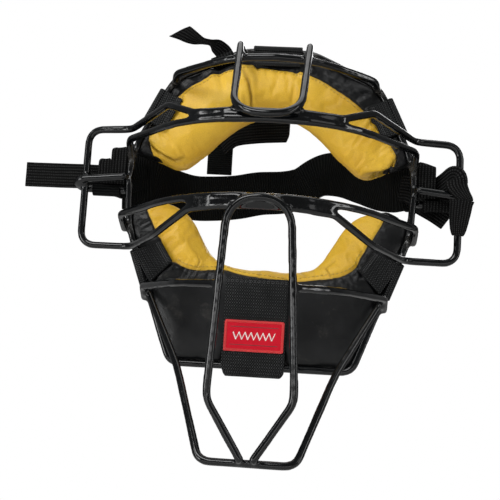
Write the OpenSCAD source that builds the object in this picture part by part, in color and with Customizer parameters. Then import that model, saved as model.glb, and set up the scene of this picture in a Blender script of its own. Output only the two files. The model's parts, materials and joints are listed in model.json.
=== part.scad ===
// Umpire mask: a welded wire cage dipped in black vinyl, two leather-faced pads held to its
// rim by webbing tabs, a chin strap with a sewn label, and an elastic head harness.
// Frame: +Z up, the mask faces -Y, X = 0 is the plane of symmetry. The origin is the centre
// of the face opening in the plane of the rim.

/* [Cage wire] */
// Diameter of the wire over its vinyl coating
wire_d = 5.4; // [5:0.1:5.8]
// How far two coated wires sink into each other where they are welded
weld_sink = 0.2; // [0.1:0.05:0.3]

/* [Rim] */
// Half width of the rim at the temples
rim_temple_w = 99; // [96:0.5:103]
// Height of the rim at the temples
rim_temple_z = 30; // [26:1:34]
// Half width of the rim's upper shoulders
rim_shoulder_w = 71; // [69:0.5:73]
// Height of the rim's upper shoulders
rim_shoulder_z = 88.5; // [86:0.5:91]
// Half length of the flat top of the rim
rim_top_w = 24; // [23:0.5:26]
// Height of the rim's top
rim_top_z = 110; // [107:0.5:114]
// Half width of the rim at the cheeks
rim_cheek_w = 96; // [93:0.5:99]
// Depth of the cheek bend below the origin
rim_cheek_z = 16; // [13:1:19]
// Half width of the rim at the chin corners
rim_chin_w = 61; // [58:0.5:64]
// Depth of the rim's bottom below the origin
rim_chin_z = 109; // [106:0.5:113]

/* [Brow and eye bars] */
// Height of the brow bar
brow_z = 38; // [36:0.5:40]
// How far the brow bar stands in front of the rim
brow_depth = 88; // [85:0.5:91]
// How far the eye bar lies below the origin
eye_z = 13; // [11:0.5:15]
// How far the eye bar stands in front of the rim
eye_depth = 101; // [98:0.5:104]
// How far the ends of both bars stand in front of the rim before they turn back
bar_corner_depth = 13; // [11:0.5:15]

/* [Crown] */
// Height of the crown bar
crown_z = 90; // [88:0.5:92]
// How far the crown bar stands in front of the rim
crown_depth = 47; // [44:0.5:50]
// Half width of the crown bar over its corners
crown_w = 68.5; // [67:0.5:70]
// Half width of the crown guard
guard_w = 22; // [20:0.5:24]
// How far the crown guard's arms reach above the crown bar
guard_rise = 11; // [9:0.5:13]

/* [Ear guard] */
// How far the ear guard's loops reach out past the temples
ear_reach = 29; // [27:0.5:33]
// Height of the ear loop's top run
ear_top_z = 48.5; // [47:0.5:50]
// Depth of the ear loop's bottom run below the origin
ear_bottom_z = 32.5; // [31:0.5:34]
// Height of the ear guard's peak over the temple
ear_peak_z = 54; // [52:0.5:57]
// Height of the strap loops' rear arm
loop_z = 8; // [7:0.5:10]

/* [Nose and throat] */
// Half width of the nose guard at its top
nose_w = 18.5; // [17:0.5:20]
// Half width of the nose guard at its bend
nose_bend_w = 26; // [24:0.5:28]
// Depth of the nose guard's bend below the origin
nose_bend_z = 131; // [127:1:135]
// Depth of the cage's lowest run below the origin
throat_z = 168; // [163:1:172]
// Half width of the throat guard at its foot
throat_w = 28.5; // [27:0.5:31]
// How far the throat guard's foot stands in front of the rim
throat_depth = 80; // [77:0.5:83]
// Depth of the chin bars below the origin
chin_bar_z = 63; // [61:0.5:66]

/* [Pads] */
// Space between the rim wire and a pad's edge
pad_gap = 0.4; // [0.3:0.05:0.6]
// How far a pad's front crown stands in front of the rim's plane
pad_front = 5; // [4:0.25:6]
// How far a pad's rear crown stands behind the rim's plane
pad_back = 25; // [22:0.5:28]
// Thickness of the leather and vinyl covers
cover_t = 1.4; // [1.2:0.1:2]
// Height of the upper pad at the middle of the forehead
upper_pad_h = 44; // [40:1:47]
// Height of the lower pad at the chin
lower_pad_h = 62; // [58:1:66]

/* [Webbing] */
// Thickness of the tab and chin strap webbing
web_t = 1.5; // [1.2:0.1:1.8]
// Clearance between webbing and what it wraps
web_gap = 0.35; // [0.3:0.05:0.5]
// Width of the four corner tabs
tab_w = 26; // [24:0.5:28]
// Width of the top tab
top_tab_w = 34; // [32:0.5:36]
// Free length of the tab flaps
tab_flap_l = 14; // [12:0.5:15]
// Width of the chin strap
chin_strap_w = 42; // [38:1:46]
// How far the chin strap's middle lies to the wearer's right
chin_strap_shift = 4.5; // [0:0.5:6]
// Height of the chin strap's sewn end below the origin
chin_strap_top = 50; // [49:0.5:53]
// Width of the label
label_w = 40; // [34:1:41]
// Height of the label
label_h = 21; // [18:1:24]
// Thickness of the label
label_t = 0.9; // [0.7:0.1:1.1]
// Width of the label's raised border
label_edge = 1.8; // [1.4:0.1:2.4]

/* [Harness] */
// Width of the side and crown webbing
strap_w = 19; // [17:0.5:21]
// Thickness of the harness webbing
strap_t = 1.6; // [1.4:0.1:2]
// Width of the back band
band_w = 34; // [30:1:36]
// How far behind the rim the back band hangs
band_depth = 83; // [80:1:90]

/* [Hidden] */

wire_r = wire_d / 2;
weld_pitch = wire_d - weld_sink;
wire_sides = 12;
bend_step = 18;
vinyl_black = [0.07, 0.07, 0.08];
web_black = [0.12, 0.12, 0.13];
leather_yellow = [0.88, 0.70, 0.25];
foam_grey = [0.55, 0.55, 0.53];
label_red = [0.78, 0.10, 0.14];
border_red = [0.90, 0.12, 0.12];

// Vector helpers
function unit(v) = v / norm(v);
function mirror_x(p) = [-p[0], p[1], p[2]];
function flip(list) = [for (i = [len(list) - 1:-1:0]) list[i]];
// A symmetric route: the right half from the middle outwards, and its mirror image before it
function both_halves(half) = concat([for (p = flip(half)) [mirror_x(p[0]), p[1]]], half);

// A closed symmetric route: the right half, and its mirror image on the way back
function round_trip(half) = concat(half, [for (p = flip(half)) [mirror_x(p[0]), p[1]]]);

// A wire bend: its point p between the points before and after it, and its radius r
function bend_turn(a, p, b) = acos(max(-1, min(1, unit(p - a) * unit(b - p))));
function bend_trim(a, p, b, r) = r * tan(bend_turn(a, p, b) / 2);

// Stations of [point, tangent] round the bend at p
function bend_stations(a, p, b, r) =
    let (coming = unit(p - a),
        going = unit(b - p),
        turn = bend_turn(a, p, b),
        start = p - coming * bend_trim(a, p, b, r),
        centre = p + unit(going - coming) * r / cos(turn / 2),
        outward = unit(start - centre),
        steps = max(2, ceil(turn / bend_step)))
    [for (k = [0:steps]) let (t = turn * k / steps)
        [centre + r * (outward * cos(t) + coming * sin(t)), coming * cos(t) - outward * sin(t)]];
// Stations of a wire along a route of [point, bend radius]; the end points have no bend
function open_stations(route) =
    let (last = len(route) - 1)
    concat(
        [[route[0][0], unit(route[1][0] - route[0][0])]],
        [for (i = [1:last - 1])
            each bend_stations(route[i - 1][0], route[i][0], route[i + 1][0], route[i][1])],
        [[route[last][0], unit(route[last][0] - route[last - 1][0])]]);
function closed_stations(route) =
    let (n = len(route))
    [for (i = [0:n - 1])
        each bend_stations(route[(i + n - 1) % n][0], route[i][0], route[(i + 1) % n][0], route[i][1])];
// The side direction of each station, carried along the wire without twist
function carried(side, tangent) = unit(side - tangent * (side * tangent));
function sides(stations) =
    let (first = carried([0.01, 0.02, 1], stations[0][1]))
    [for (i = 0, s = first; i < len(stations);
        i = i + 1, s = i < len(stations) ? carried(s, stations[i][1]) : s) s];
function wire_rings(stations) =
    let (side = sides(stations))
    [for (i = [0:len(stations) - 1], k = [0:wire_sides - 1])
        let (a = 360 * k / wire_sides)
        stations[i][0] + wire_r * (side[i] * cos(a) + cross(stations[i][1], side[i]) * sin(a))];
function wire_walls(rows, closed) =
    [for (i = [0:rows - (closed ? 1 : 2)], k = [0:wire_sides - 1]) each
        let (a = i * wire_sides + k,
            b = i * wire_sides + (k + 1) % wire_sides,
            c = ((i + 1) % rows) * wire_sides + k,
            d = ((i + 1) % rows) * wire_sides + (k + 1) % wire_sides)
        [[a, c, b], [b, c, d]]];

module open_wire(route) {
    stations = open_stations(route);
    end = (len(stations) - 1) * wire_sides;
    color(vinyl_black) polyhedron(
        points = wire_rings(stations),
        faces = concat(wire_walls(len(stations), false),
            [for (k = [1:wire_sides - 2]) [0, k, k + 1]],
            [for (k = [1:wire_sides - 2]) [end, end + k + 1, end + k]]));
}

module closed_wire(route) {
    stations = closed_stations(route);
    color(vinyl_black) polyhedron(points = wire_rings(stations),
        faces = wire_walls(len(stations), true));
}

// Right half of the rim, from the top to the chin
rim_half = [
    [[rim_top_w, 0, rim_top_z], 25],
    [[rim_shoulder_w, 0, rim_shoulder_z], 25],
    [[rim_temple_w, 0, rim_temple_z], 60],
    [[rim_cheek_w, 0, -rim_cheek_z], 60],
    [[rim_chin_w, 0, -rim_chin_z], 9]
];
// Half width of the rim's straight run from the cheek bend to the chin, at a height
function rim_cheek_at(z) = rim_chin_w
    + (rim_cheek_w - rim_chin_w) * (z + rim_chin_z) / (rim_chin_z - rim_cheek_z);
// Height of the rim's sloping run from its flat top to the shoulder, at a distance from the middle
function rim_crown_at(x) = rim_top_z
    - (rim_top_z - rim_shoulder_z) * (x - rim_top_w) / (rim_shoulder_w - rim_top_w);
// Half width of the rim's run from the shoulder to the temple, at a height
function rim_shoulder_at(z) = rim_temple_w
    - (rim_temple_w - rim_shoulder_w) * (z - rim_temple_z) / (rim_shoulder_z - rim_temple_z);

// The two bars that bow forward share this plan: a flat front, a shoulder and a corner
bar_front_w = 26;
bar_shoulder_w = 59;
brow_shoulder_depth = brow_depth - 23;
eye_shoulder_depth = eye_depth - 27;
bar_corner_w = rim_temple_w - 1.5;
bar_end_drop = 7;

brow_half = [
    [[bar_front_w, -brow_depth, brow_z], 60],
    [[bar_shoulder_w, -brow_shoulder_depth, brow_z + 1], 80],
    [[bar_corner_w, -bar_corner_depth, brow_z + 2], 8],
    [[bar_corner_w, -weld_pitch * 0.5, brow_z - bar_end_drop], 0]
];
eye_half = [
    [[bar_front_w - 2, -eye_depth, -eye_z], 60],
    [[bar_shoulder_w + 1, -eye_shoulder_depth, -eye_z + 0.5], 80],
    [[rim_cheek_w + 2, -bar_corner_depth - 6, -eye_z], 8],
    [[rim_cheek_w + 2.5, 1, -eye_z - bar_end_drop], 0]
];

ear_w = rim_temple_w + ear_reach;
ear_loop_y = -1.5;
ear_stack_back = 2;
ear_stack_rise = sqrt(pow(weld_pitch, 2) - pow(ear_stack_back, 2));
// The ear guard lies on the brow bar and under the eye bar, and goes round both ear loops
ear_half = [
    [[bar_front_w, -brow_depth + ear_stack_back, brow_z + ear_stack_rise], 60],
    [[46, -73.5, brow_z + weld_pitch + 0.5], 12],
    [[66, -53, ear_peak_z], 14],
    [[rim_temple_w - 2, -8, ear_top_z], 12],
    [[ear_w, ear_loop_y, ear_top_z], 9],
    [[ear_w, ear_loop_y, -ear_bottom_z], 9],
    [[rim_cheek_at(-ear_bottom_z) + 2.5, -weld_pitch * 0.7, -ear_bottom_z], 12],
    [[68, -56, -ear_bottom_z + 1.5], 20],
    [[44, -85.5, -eye_z - weld_pitch - 0.6], 14],
    [[bar_front_w - 2, -eye_depth, -eye_z - weld_pitch], 60]
];

// The crown guard crosses in front of the brow bar, the ear guard and the crown bar
guard_front = brow_depth + weld_pitch + 3.3;
guard_cross_depth = crown_depth - 4 + weld_pitch * 0.73;
guard_cross_z = crown_z + weld_pitch * 0.68;
guard_slope = unit([0, guard_front - guard_cross_depth, guard_cross_z - brow_z - 1]);
guard_top = [guard_w + 1, -guard_cross_depth, guard_cross_z] + guard_slope * guard_rise;
guard_half = [
    [[guard_w - 1.5, -guard_front, brow_z + 1], 18.5],
    [guard_top, 6],
    [[guard_w + 1, -weld_pitch * 0.62, rim_top_z - weld_pitch * 0.78], 0]
];

crown_half = [
    [[24, -crown_depth, crown_z + 1], 70],
    [[crown_w, -bar_corner_depth, crown_z - 2], 9],
    [[crown_w + 1.5, -weld_pitch * 0.6, crown_z - 6], 0]
];

// The strap loops wrap the ear loops and are welded to the rim front and back
loop_front_y = ear_loop_y - weld_pitch;
loop_rear_y = weld_pitch;
loop_tip_w = ear_w + weld_pitch + 0.2;
loop_rise = 8;
loop_route = [
    [[rim_temple_w - 0.5, -weld_pitch, loop_z + loop_rise], 0],
    [[loop_tip_w, loop_front_y, loop_z + loop_rise / 2], 5.5],
    [[loop_tip_w, loop_rear_y, loop_z], 6],
    [[rim_temple_w - 0.5, loop_rear_y, loop_z], 0]
];

nose_front = eye_depth + weld_pitch;
nose_bend_depth = 86;
nose_half = [
    [[nose_w, -nose_front, -eye_z - 1], 17.5],
    [[nose_bend_w, -nose_bend_depth, -nose_bend_z], 16],
    [[wire_r + 0.3, -throat_depth - weld_pitch * 0.95, -throat_z + 1], 0]
];
// How far the nose guard stands forward at a height below the origin
function nose_depth_at(z) = nose_front
    + (nose_bend_depth - nose_front) * (z - eye_z - 1) / (nose_bend_z - eye_z - 1);

throat_half = [
    [[throat_w, -throat_depth, -throat_z], 9],
    [[rim_chin_w - 11, -42, -rim_chin_z - 3], 150],
    [[rim_cheek_at(-chin_bar_z + 2), -weld_pitch * 0.85, -chin_bar_z + 2], 0]
];

chin_bar_route = [
    [[rim_cheek_at(-chin_bar_z - 4) + 4, 0, -chin_bar_z - 4], 0],
    [[rim_cheek_at(-chin_bar_z) + 2, -bar_corner_depth, -chin_bar_z + 3], 6],
    [[rim_chin_w - 11, -72, -chin_bar_z], 50],
    [[nose_bend_w - 3, -nose_depth_at(chin_bar_z) + weld_pitch * 0.4, -chin_bar_z - 2], 0]
];

module on_side(side) { mirror([side < 0 ? 1 : 0, 0, 0]) children(); }
module rim_wire() { closed_wire(round_trip(rim_half)); }
module crown_bar() { open_wire(both_halves(crown_half)); }
module crown_guard() { open_wire(both_halves(guard_half)); }
module brow_bar() { open_wire(both_halves(brow_half)); }
module eye_bar() { open_wire(both_halves(eye_half)); }
module ear_guard_wire() { closed_wire(round_trip(ear_half)); }
module nose_guard() { open_wire(both_halves(nose_half)); }
module throat_guard() { open_wire(both_halves(throat_half)); }
module strap_loop(side) { on_side(side) open_wire(loop_route); }
module chin_bar(side) { on_side(side) open_wire(chin_bar_route); }

// Pads. A station of a pad is [inner edge point, outer edge point, fullness], each point [x, z];
// the section between them is a rounded cushion, and the fullness draws it in at the ends.
pad_inset = wire_r + pad_gap;
section_n = 16;

function pad_mid_y() = (pad_back - pad_front) / 2;
function pad_half_depth() = (pad_back + pad_front) / 2;
function rounded(c, p) = sign(c) * pow(abs(c), p);
// Angle 0 is the inner edge, 90 the front crown, 180 the outer edge, 270 the rear crown
function section_point(inner, outer, full, inset, k) =
    let (a = 360 * k / section_n,
        mid = (inner + outer) / 2,
        half = norm(outer - inner) / 2,
        dir = unit(inner - outer),
        w = max(0.1, half - inset) * rounded(cos(a), 0.75),
        depth = max(0.1, pad_half_depth() * full - inset) * rounded(sin(a), 0.62),
        x = mid[0] + dir[0] * w,
        z = mid[1] + dir[1] * w)
    [x, pad_mid_y() - depth, z];
function ring(station, inset) = [for (k = [0:section_n - 1])
    section_point(station[0], station[1], station[2], inset, k)];

// A cover is the part of the shell between the outer and inner rings from k0 to k1
module cover(stations, k0, k1) {
    n = k1 - k0 + 1;
    rows = len(stations);
    outer = [for (s = stations) let (r = ring(s, 0)) for (k = [k0:k1]) r[k % section_n]];
    inner = [for (s = stations) let (r = ring(s, cover_t)) for (k = [k0:k1]) r[k % section_n]];
    m = rows * n;
    polyhedron(
        points = concat(outer, inner),
        faces = concat(
            [for (i = [0:rows - 2], j = [0:n - 2]) each let (a = i * n + j)
                [[a, a + 1, a + n], [a + 1, a + n + 1, a + n]]],
            [for (i = [0:rows - 2], j = [0:n - 2]) each let (a = m + i * n + j)
                [[a, a + n, a + 1], [a + 1, a + n, a + n + 1]]],
            [for (i = [0:rows - 2]) each let (a = i * n)
                [[a, a + n, m + a], [a + n, m + a + n, m + a]]],
            [for (i = [0:rows - 2]) each let (a = i * n + n - 1)
                [[a, m + a, a + n], [a + n, m + a, m + a + n]]],
            [for (j = [0:n - 2]) each [[j, m + j, j + 1], [j + 1, m + j, m + j + 1]]],
            [for (j = [0:n - 2]) each let (a = (rows - 1) * n + j)
                [[a, a + 1, m + a], [a + 1, m + a + 1, m + a]]]
        ));
}

module foam(stations) {
    n = section_n;
    rows = len(stations);
    polyhedron(
        points = [for (s = stations) each ring(s, cover_t)],
        faces = concat(
            [for (i = [0:rows - 2], j = [0:n - 1]) each
                let (a = i * n + j, b = i * n + (j + 1) % n)
                [[a, b, a + n], [b, b + n, a + n]]],
            [for (j = [1:n - 2]) [0, j + 1, j]],
            [for (j = [1:n - 2]) let (a = (rows - 1) * n) [a, a + j, a + j + 1]]
        ));
}

function mirror_station(s) = [[-s[0][0], s[0][1]], [-s[1][0], s[1][1]], s[2]];
function whole_pad(half) = concat([for (s = flip(half)) mirror_station(s)],
    [for (i = [1:len(half) - 1]) half[i]]);

// Right half of the upper pad, from the middle of the forehead to the temple
upper_edge_z = rim_top_z - pad_inset;
upper_half = [
    [[0, upper_edge_z - upper_pad_h], [0, upper_edge_z], 1],
    [[12, upper_edge_z - upper_pad_h - 1], [16, upper_edge_z], 1],
    [[24, upper_edge_z - upper_pad_h - 7], [34, rim_crown_at(34) - pad_inset - 0.5], 1],
    [[35, upper_edge_z - upper_pad_h - 16], [52, rim_crown_at(52) - pad_inset - 1], 1],
    [[44, upper_edge_z - upper_pad_h - 25], [68, rim_shoulder_z - 7], 1],
    [[52, upper_edge_z - upper_pad_h - 32], [rim_shoulder_at(66) - pad_inset - 0.8, 66], 0.98],
    [[59, upper_edge_z - upper_pad_h - 37], [rim_shoulder_at(52) - pad_inset - 1, 52], 0.95],
    [[65, upper_edge_z - upper_pad_h - 40], [90, rim_temple_z + 13], 0.88],
    [[69, upper_edge_z - upper_pad_h - 40], [89, rim_temple_z + 6], 0.72],
    [[73, upper_edge_z - upper_pad_h - 38.5], [85, rim_temple_z + 1], 0.45],
    [[76, upper_edge_z - upper_pad_h - 37], [80, rim_temple_z - 2], 0.12]
];
// Right half of the lower pad, from the middle of the chin to the cheek
lower_edge_z = -rim_chin_z + pad_inset;
lower_half = [
    [[0, lower_edge_z + lower_pad_h], [0, lower_edge_z], 1],
    [[16, lower_edge_z + lower_pad_h + 1], [20, lower_edge_z], 1],
    [[30, lower_edge_z + lower_pad_h + 3], [42, lower_edge_z + 0.5], 1],
    [[38, lower_edge_z + lower_pad_h + 9], [57, lower_edge_z + 7], 1],
    [[43, -28], [rim_cheek_at(-84) - pad_inset - 0.5, -84], 1],
    [[48, -20], [rim_cheek_at(-62) - pad_inset - 0.5, -62], 1],
    [[53, -12], [rim_cheek_at(-42) - pad_inset - 1, -42], 0.98],
    [[58, -6], [rim_cheek_at(-26) - pad_inset - 3, -26], 0.92],
    [[63, -1.5], [86.5, -13], 0.8],
    [[68, 1], [83, -4], 0.5],
    [[72, 2.5], [78, 1.5], 0.12]
];
upper_pad = whole_pad(upper_half);
lower_pad = whole_pad(lower_half);
// The leather wraps the rear, the inner edge and part of the front; the vinyl has the rest
upper_seam = 21;
lower_seam = 18;
rear_seam = 9;

module upper_pad_foam() { color(foam_grey) foam(upper_pad); }
module upper_pad_face() { color(leather_yellow) cover(upper_pad, rear_seam, upper_seam); }
module upper_pad_backing() { color(vinyl_black) cover(upper_pad, upper_seam - section_n, rear_seam); }
module lower_pad_foam() { color(foam_grey) foam(flip(lower_pad)); }
module lower_pad_face() { color(leather_yellow) cover(flip(lower_pad), rear_seam, lower_seam); }
module lower_pad_backing() { color(vinyl_black) cover(flip(lower_pad), lower_seam - section_n, rear_seam); }

// Webbing tabs, drawn at the rim: +Z points out of the opening, +Y backwards
wrap_in = wire_r + web_gap;
wrap_out = wrap_in + web_t;
hinge_gap = 0.4;
flap_lean = 7;

module tab_wrap(w) {
    color(web_black) rotate([90, 0, 90]) translate([0, 0, -w / 2]) linear_extrude(height = w) {
        difference() {
            circle(r = wrap_out, $fn = 48);
            circle(r = wrap_in, $fn = 48);
            translate([-2 * wrap_out, -2 * wrap_out])
                square([4 * wrap_out, 2 * wrap_out]);
        }
        translate([wrap_in, -wire_r - 0.2]) square([web_t, wire_r + 0.4]);
        translate([wrap_in, -wire_r - 0.2]) square([12, web_t]);
    }
}

// The flap lies on the pad's front and turns about the outer face of the wrap, at [0, -wrap_out, 0]
module tab_flap(w, l) {
    color(web_black) translate([0, -wrap_out, 0]) rotate([-flap_lean, 0, 0])
        translate([-w / 2, 0, -hinge_gap - l]) cube([w, web_t, l]);
}

// A tab's place on the rim: the middle of the tab and the angle of the outward direction
upper_tab_z = 67;
lower_tab_z = -46;
crown_loop_w = 38;
top_place = [[0, 0, rim_top_z], 0];
upper_place = [[rim_shoulder_at(upper_tab_z), 0, upper_tab_z],
    atan2(rim_shoulder_z - rim_temple_z, rim_temple_w - rim_shoulder_w)];
lower_place = [[rim_cheek_at(lower_tab_z), 0, lower_tab_z],
    90 + atan2(rim_cheek_w - rim_chin_w, rim_chin_z - rim_cheek_z)];
crown_loop_place = [[crown_loop_w, 0, rim_crown_at(crown_loop_w)],
    atan2(rim_top_z - rim_shoulder_z, rim_shoulder_w - rim_top_w)];

module placed(place, side) {
    mirror([side < 0 ? 1 : 0, 0, 0]) translate(place[0]) rotate([0, place[1], 0]) children();
}

// Chin strap: sewn over the pad's front seam, down the chin panel and round the rim's bottom
chin_front = pad_front + web_gap + web_t;
chin_kink_z = -rim_chin_z + 8;
module chin_strap() {
    color(web_black) translate([-chin_strap_shift - chin_strap_w / 2, 0, 0]) rotate([90, 0, 90])
        linear_extrude(height = chin_strap_w) {
            polygon([
                [-wrap_out, -rim_chin_z - 0.01], [-wrap_in, -rim_chin_z - 0.01],
                [-chin_front + web_t, chin_kink_z], [-chin_front + web_t, -chin_strap_top],
                [-chin_front, -chin_strap_top], [-chin_front, chin_kink_z]
            ]);
            translate([0, -rim_chin_z]) difference() {
                circle(r = wrap_out, $fn = 48);
                circle(r = wrap_in, $fn = 48);
                translate([-2 * wrap_out, 0]) square([4 * wrap_out, 2 * wrap_out]);
            }
        }
}

// The strap's free end lies under the pad and turns about the outer face of the wrap
chin_end_l = 20;
chin_end_lean = 78;
module chin_strap_end() {
    color(web_black) translate([-chin_strap_shift, wrap_out, -rim_chin_z])
        rotate([-chin_end_lean, 0, 0])
            translate([-chin_strap_w / 2 + 0.5, -web_t, hinge_gap])
                cube([chin_strap_w - 1, web_t, chin_end_l]);
}

label_mid_z = -89;
module on_chin_strap() {
    translate([-chin_strap_shift, -chin_front, label_mid_z]) rotate([90, 0, 0]) children();
}
module label_patch() {
    color(label_red) on_chin_strap() linear_extrude(height = label_t)
        square([label_w - 2 * label_edge, label_h - 2 * label_edge], center = true);
}
module label_border() {
    color(border_red) on_chin_strap() linear_extrude(height = label_t * 1.7)
        difference() {
            square([label_w, label_h], center = true);
            square([label_w - 2 * label_edge, label_h - 2 * label_edge], center = true);
        }
}

// A strap along stations of [point, direction of its width]; its section is w by strap_t
module ribbon(stations, w) {
    last = len(stations) - 1;
    corners = [for (i = [0:last]) let (
            p = stations[i][0],
            along = unit(stations[min(i + 1, last)][0] - stations[max(i - 1, 0)][0]),
            flat = unit(stations[i][1] - along * (stations[i][1] * along)),
            thick = cross(along, flat))
        for (c = [[-1, -1], [1, -1], [1, 1], [-1, 1]])
            p + flat * c[0] * w / 2 + thick * c[1] * strap_t / 2];
    polyhedron(points = corners, faces = concat(
        [[0, 1, 2], [0, 2, 3]],
        [for (i = [0:last - 1], j = [0:3]) each let (a = 4 * i + j, b = 4 * i + (j + 1) % 4)
            [[a, a + 4, b], [b, a + 4, b + 4]]],
        [[4 * last, 4 * last + 2, 4 * last + 1], [4 * last, 4 * last + 3, 4 * last + 2]]));
}

up = [0, 0, 1];
across = [1, 0, 0];
// The back band hangs in a slack bow behind the opening and rides up towards the wearer's left
band_end_w = 90;
band_end_y = 28;
band_end_z = 23.5;
band_top_x = 6;
function band_at(x, y, z, lean) = [[x, y, z], [0, lean, 1]];
band_route = [
    band_at(-band_end_w, band_end_y, band_end_z, 0),
    band_at(-band_end_w + 4, band_end_y + 5.5, band_end_z, 0),
    band_at(-78, band_depth - 38, 18.5, 0),
    band_at(-62, band_depth - 18, 17, 0),
    band_at(-47, band_depth - 10, 18.5, 0),
    band_at(-30, band_depth - 4, 21.5, 0.05),
    band_at(-12, band_depth - 1, 26, 0.1),
    band_at(band_top_x, band_depth, 28, 0.15),
    band_at(18, band_depth - 1.5, 31.5, 0.2),
    band_at(28, band_depth - 5, 38, 0.2),
    band_at(38, band_depth - 9.5, 41.5, 0.15),
    band_at(52, band_depth - 18.5, 39.5, 0.1),
    band_at(66, band_depth - 30, 33, 0),
    band_at(78, band_depth - 40, 27.5, 0),
    band_at(band_end_w - 4, band_end_y + 5.5, band_end_z, 0),
    band_at(band_end_w, band_end_y, band_end_z, 0)
];
module back_band() { color(web_black) ribbon(band_route, band_w); }

// The crown strap rises from the back band, over the upper pad, to its loop on the rim
crown_strap_x = -43.5;
crown_strap_y = band_depth - 8.5;
crown_strap_foot = 37.6;
crown_strap_route = [
    [[crown_strap_x, crown_strap_y, crown_strap_foot], across],
    [[crown_strap_x, crown_strap_y - 1, 56], across],
    [[crown_strap_x + 1, crown_strap_y - 7.5, 76], [1, 0, 0.05]],
    [[crown_strap_x + 2, crown_strap_y - 19.5, 93], [1, 0, 0.1]],
    [[crown_strap_x + 3, crown_strap_y - 36, 104], [1, 0, 0.2]],
    [[crown_strap_x + 4, crown_strap_y - 53, 108.5], [1, 0, 0.35]],
    [[-crown_loop_w, wrap_out + 1.4, rim_crown_at(crown_loop_w) + 0.2], [1, 0, 0.43]]
];
module crown_strap() { color(web_black) ribbon(crown_strap_route, strap_w); }

// Its folded end lies across, behind the upper pad's lower edge
crown_fold_route = [
    [[crown_strap_x - 1, crown_strap_y - 4.9, 53], [-0.55, 0, 0.83]],
    [[crown_strap_x + 10, crown_strap_y - 11, 60], [-0.36, 0, 0.93]],
    [[crown_strap_x + 30, crown_strap_y - 22, 66], [-0.1, 0, 1]],
    [[crown_strap_x + 53, crown_strap_y - 29, 67], [0.1, 0, 1]]
];
module crown_strap_fold() { color(web_black) ribbon(crown_fold_route, strap_w); }

// A side strap leaves the back band and turns flat to wrap the rear arm of its strap loop
side_strap_x = rim_temple_w + ear_reach / 2 + 0.5;
side_wrap_mid = wire_r + 0.4 + strap_t / 2;
side_strap_route = concat(
    [
        [[band_end_w + 0.8, band_end_y - 0.9, band_end_z - 0.3], up],
        [[band_end_w + 7, band_end_y - 6.5, band_end_z - 1], [0.2, 0, 1]],
        [[side_strap_x - 9, band_end_y - 9, 12], [0.8, 0.1, 0.8]],
        [[side_strap_x - 3, band_end_y - 11, 6.5], [1, -0.1, 0.3]],
        [[side_strap_x, 12, 4.5], across]
    ],
    [for (a = [0:20:120]) [[side_strap_x, loop_rear_y, loop_z]
        - side_wrap_mid * [0, sin(a), cos(a)], across]]
);
module side_strap(side) { color(web_black) on_side(side) ribbon(side_strap_route, strap_w); }

// Each side strap comes up through its strap loop and folds over; the left one goes out flat
slot_y = 1.2;
fold_half = [
    [[side_strap_x, slot_y, loop_z + 6.5], [-1, 0, 0]],
    [[side_strap_x, slot_y, loop_z + 13], [-1, 0, 0]],
    [[side_strap_x + 2, slot_y + 2, loop_z + 17.5], [-0.9, 0, 0.45]]
];
left_fold_route = concat(fold_half, [
    [[side_strap_x + 5.5, 6.5, loop_z + 16.5], [-0.6, 0, 0.8]],
    [[side_strap_x + 9, 8.8, loop_z + 12.5], [-0.2, 0, 1]],
    [[side_strap_x + 13, 9.7, loop_z + 9.9], up],
    [[side_strap_x + 17, 9.8, loop_z + 9.7], up]
]);
tail_hinge_x = side_strap_x + 17.4;
left_tail_route = [
    [[tail_hinge_x + 0.3, 9.8, loop_z + 9.7], up],
    [[tail_hinge_x + 20, 9.5, loop_z + 9.3], up],
    [[tail_hinge_x + 42, 9, loop_z + 9], up]
];
module left_strap_fold() { color(web_black) on_side(-1) ribbon(left_fold_route, strap_w); }
module left_strap_tail() { color(web_black) on_side(-1) ribbon(left_tail_route, strap_w); }

// The right one goes once round the ear loop and the strap loop's tip, and its end hangs down
right_fold_route = concat(fold_half, [
    [[side_strap_x + 5.5, 7.5, loop_z + 17.5], [-0.6, 0, 0.8]],
    [[side_strap_x + 10, 10.6, loop_z + 16.5], [-0.2, 0, 1]],
    [[ear_w + 3, 11.6, loop_z + 15], up],
    [[ear_w + 7.5, 8.5, loop_z + 14], up],
    [[ear_w + 9.4, 1.5, loop_z + 13], up],
    [[ear_w + 9, -6.5, loop_z + 12], up],
    [[ear_w + 5, -11.5, loop_z + 11], up],
    [[ear_w - 2, -12.6, loop_z + 10.5], up]
]);
hang_y = -15;
hang_z = loop_z + 6;
right_tail_route = [
    [[ear_w + 2, hang_y, hang_z - 0.5], across],
    [[ear_w + 1.5, hang_y - 0.2, hang_z - 13], across],
    [[ear_w + 1, hang_y + 0.5, hang_z - 27], across]
];
module right_strap_fold() { color(web_black) on_side(1) ribbon(right_fold_route, strap_w); }
module right_strap_tail() { color(web_black) on_side(1) ribbon(right_tail_route, strap_w - 2); }

// The crown strap's loop on the rim, and its twisted end lying up over the crown bar
crown_tail_z = rim_crown_at(crown_loop_w) + wrap_out;
crown_tail_route = [
    [[-crown_loop_w - 3, -1.5, crown_tail_z + 0.3], [0.6, -0.8, 0.2]],
    [[-crown_loop_w - 9, -2, crown_tail_z + 7], [0.5, -0.8, 0.5]],
    [[-crown_loop_w - 18, -2, crown_tail_z + 8.5], [0.2, -0.6, 0.6]],
    [[-crown_loop_w - 27, -3, crown_tail_z + 10], [0.2, -0.3, 1]],
    [[-crown_loop_w - 37, -4, crown_tail_z + 9], [0.3, 0, 1]]
];
module crown_strap_loop() { placed(crown_loop_place, -1) tab_wrap(strap_w); }
module crown_strap_tail() { color(web_black) ribbon(crown_tail_route, strap_w * 0.7); }

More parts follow.
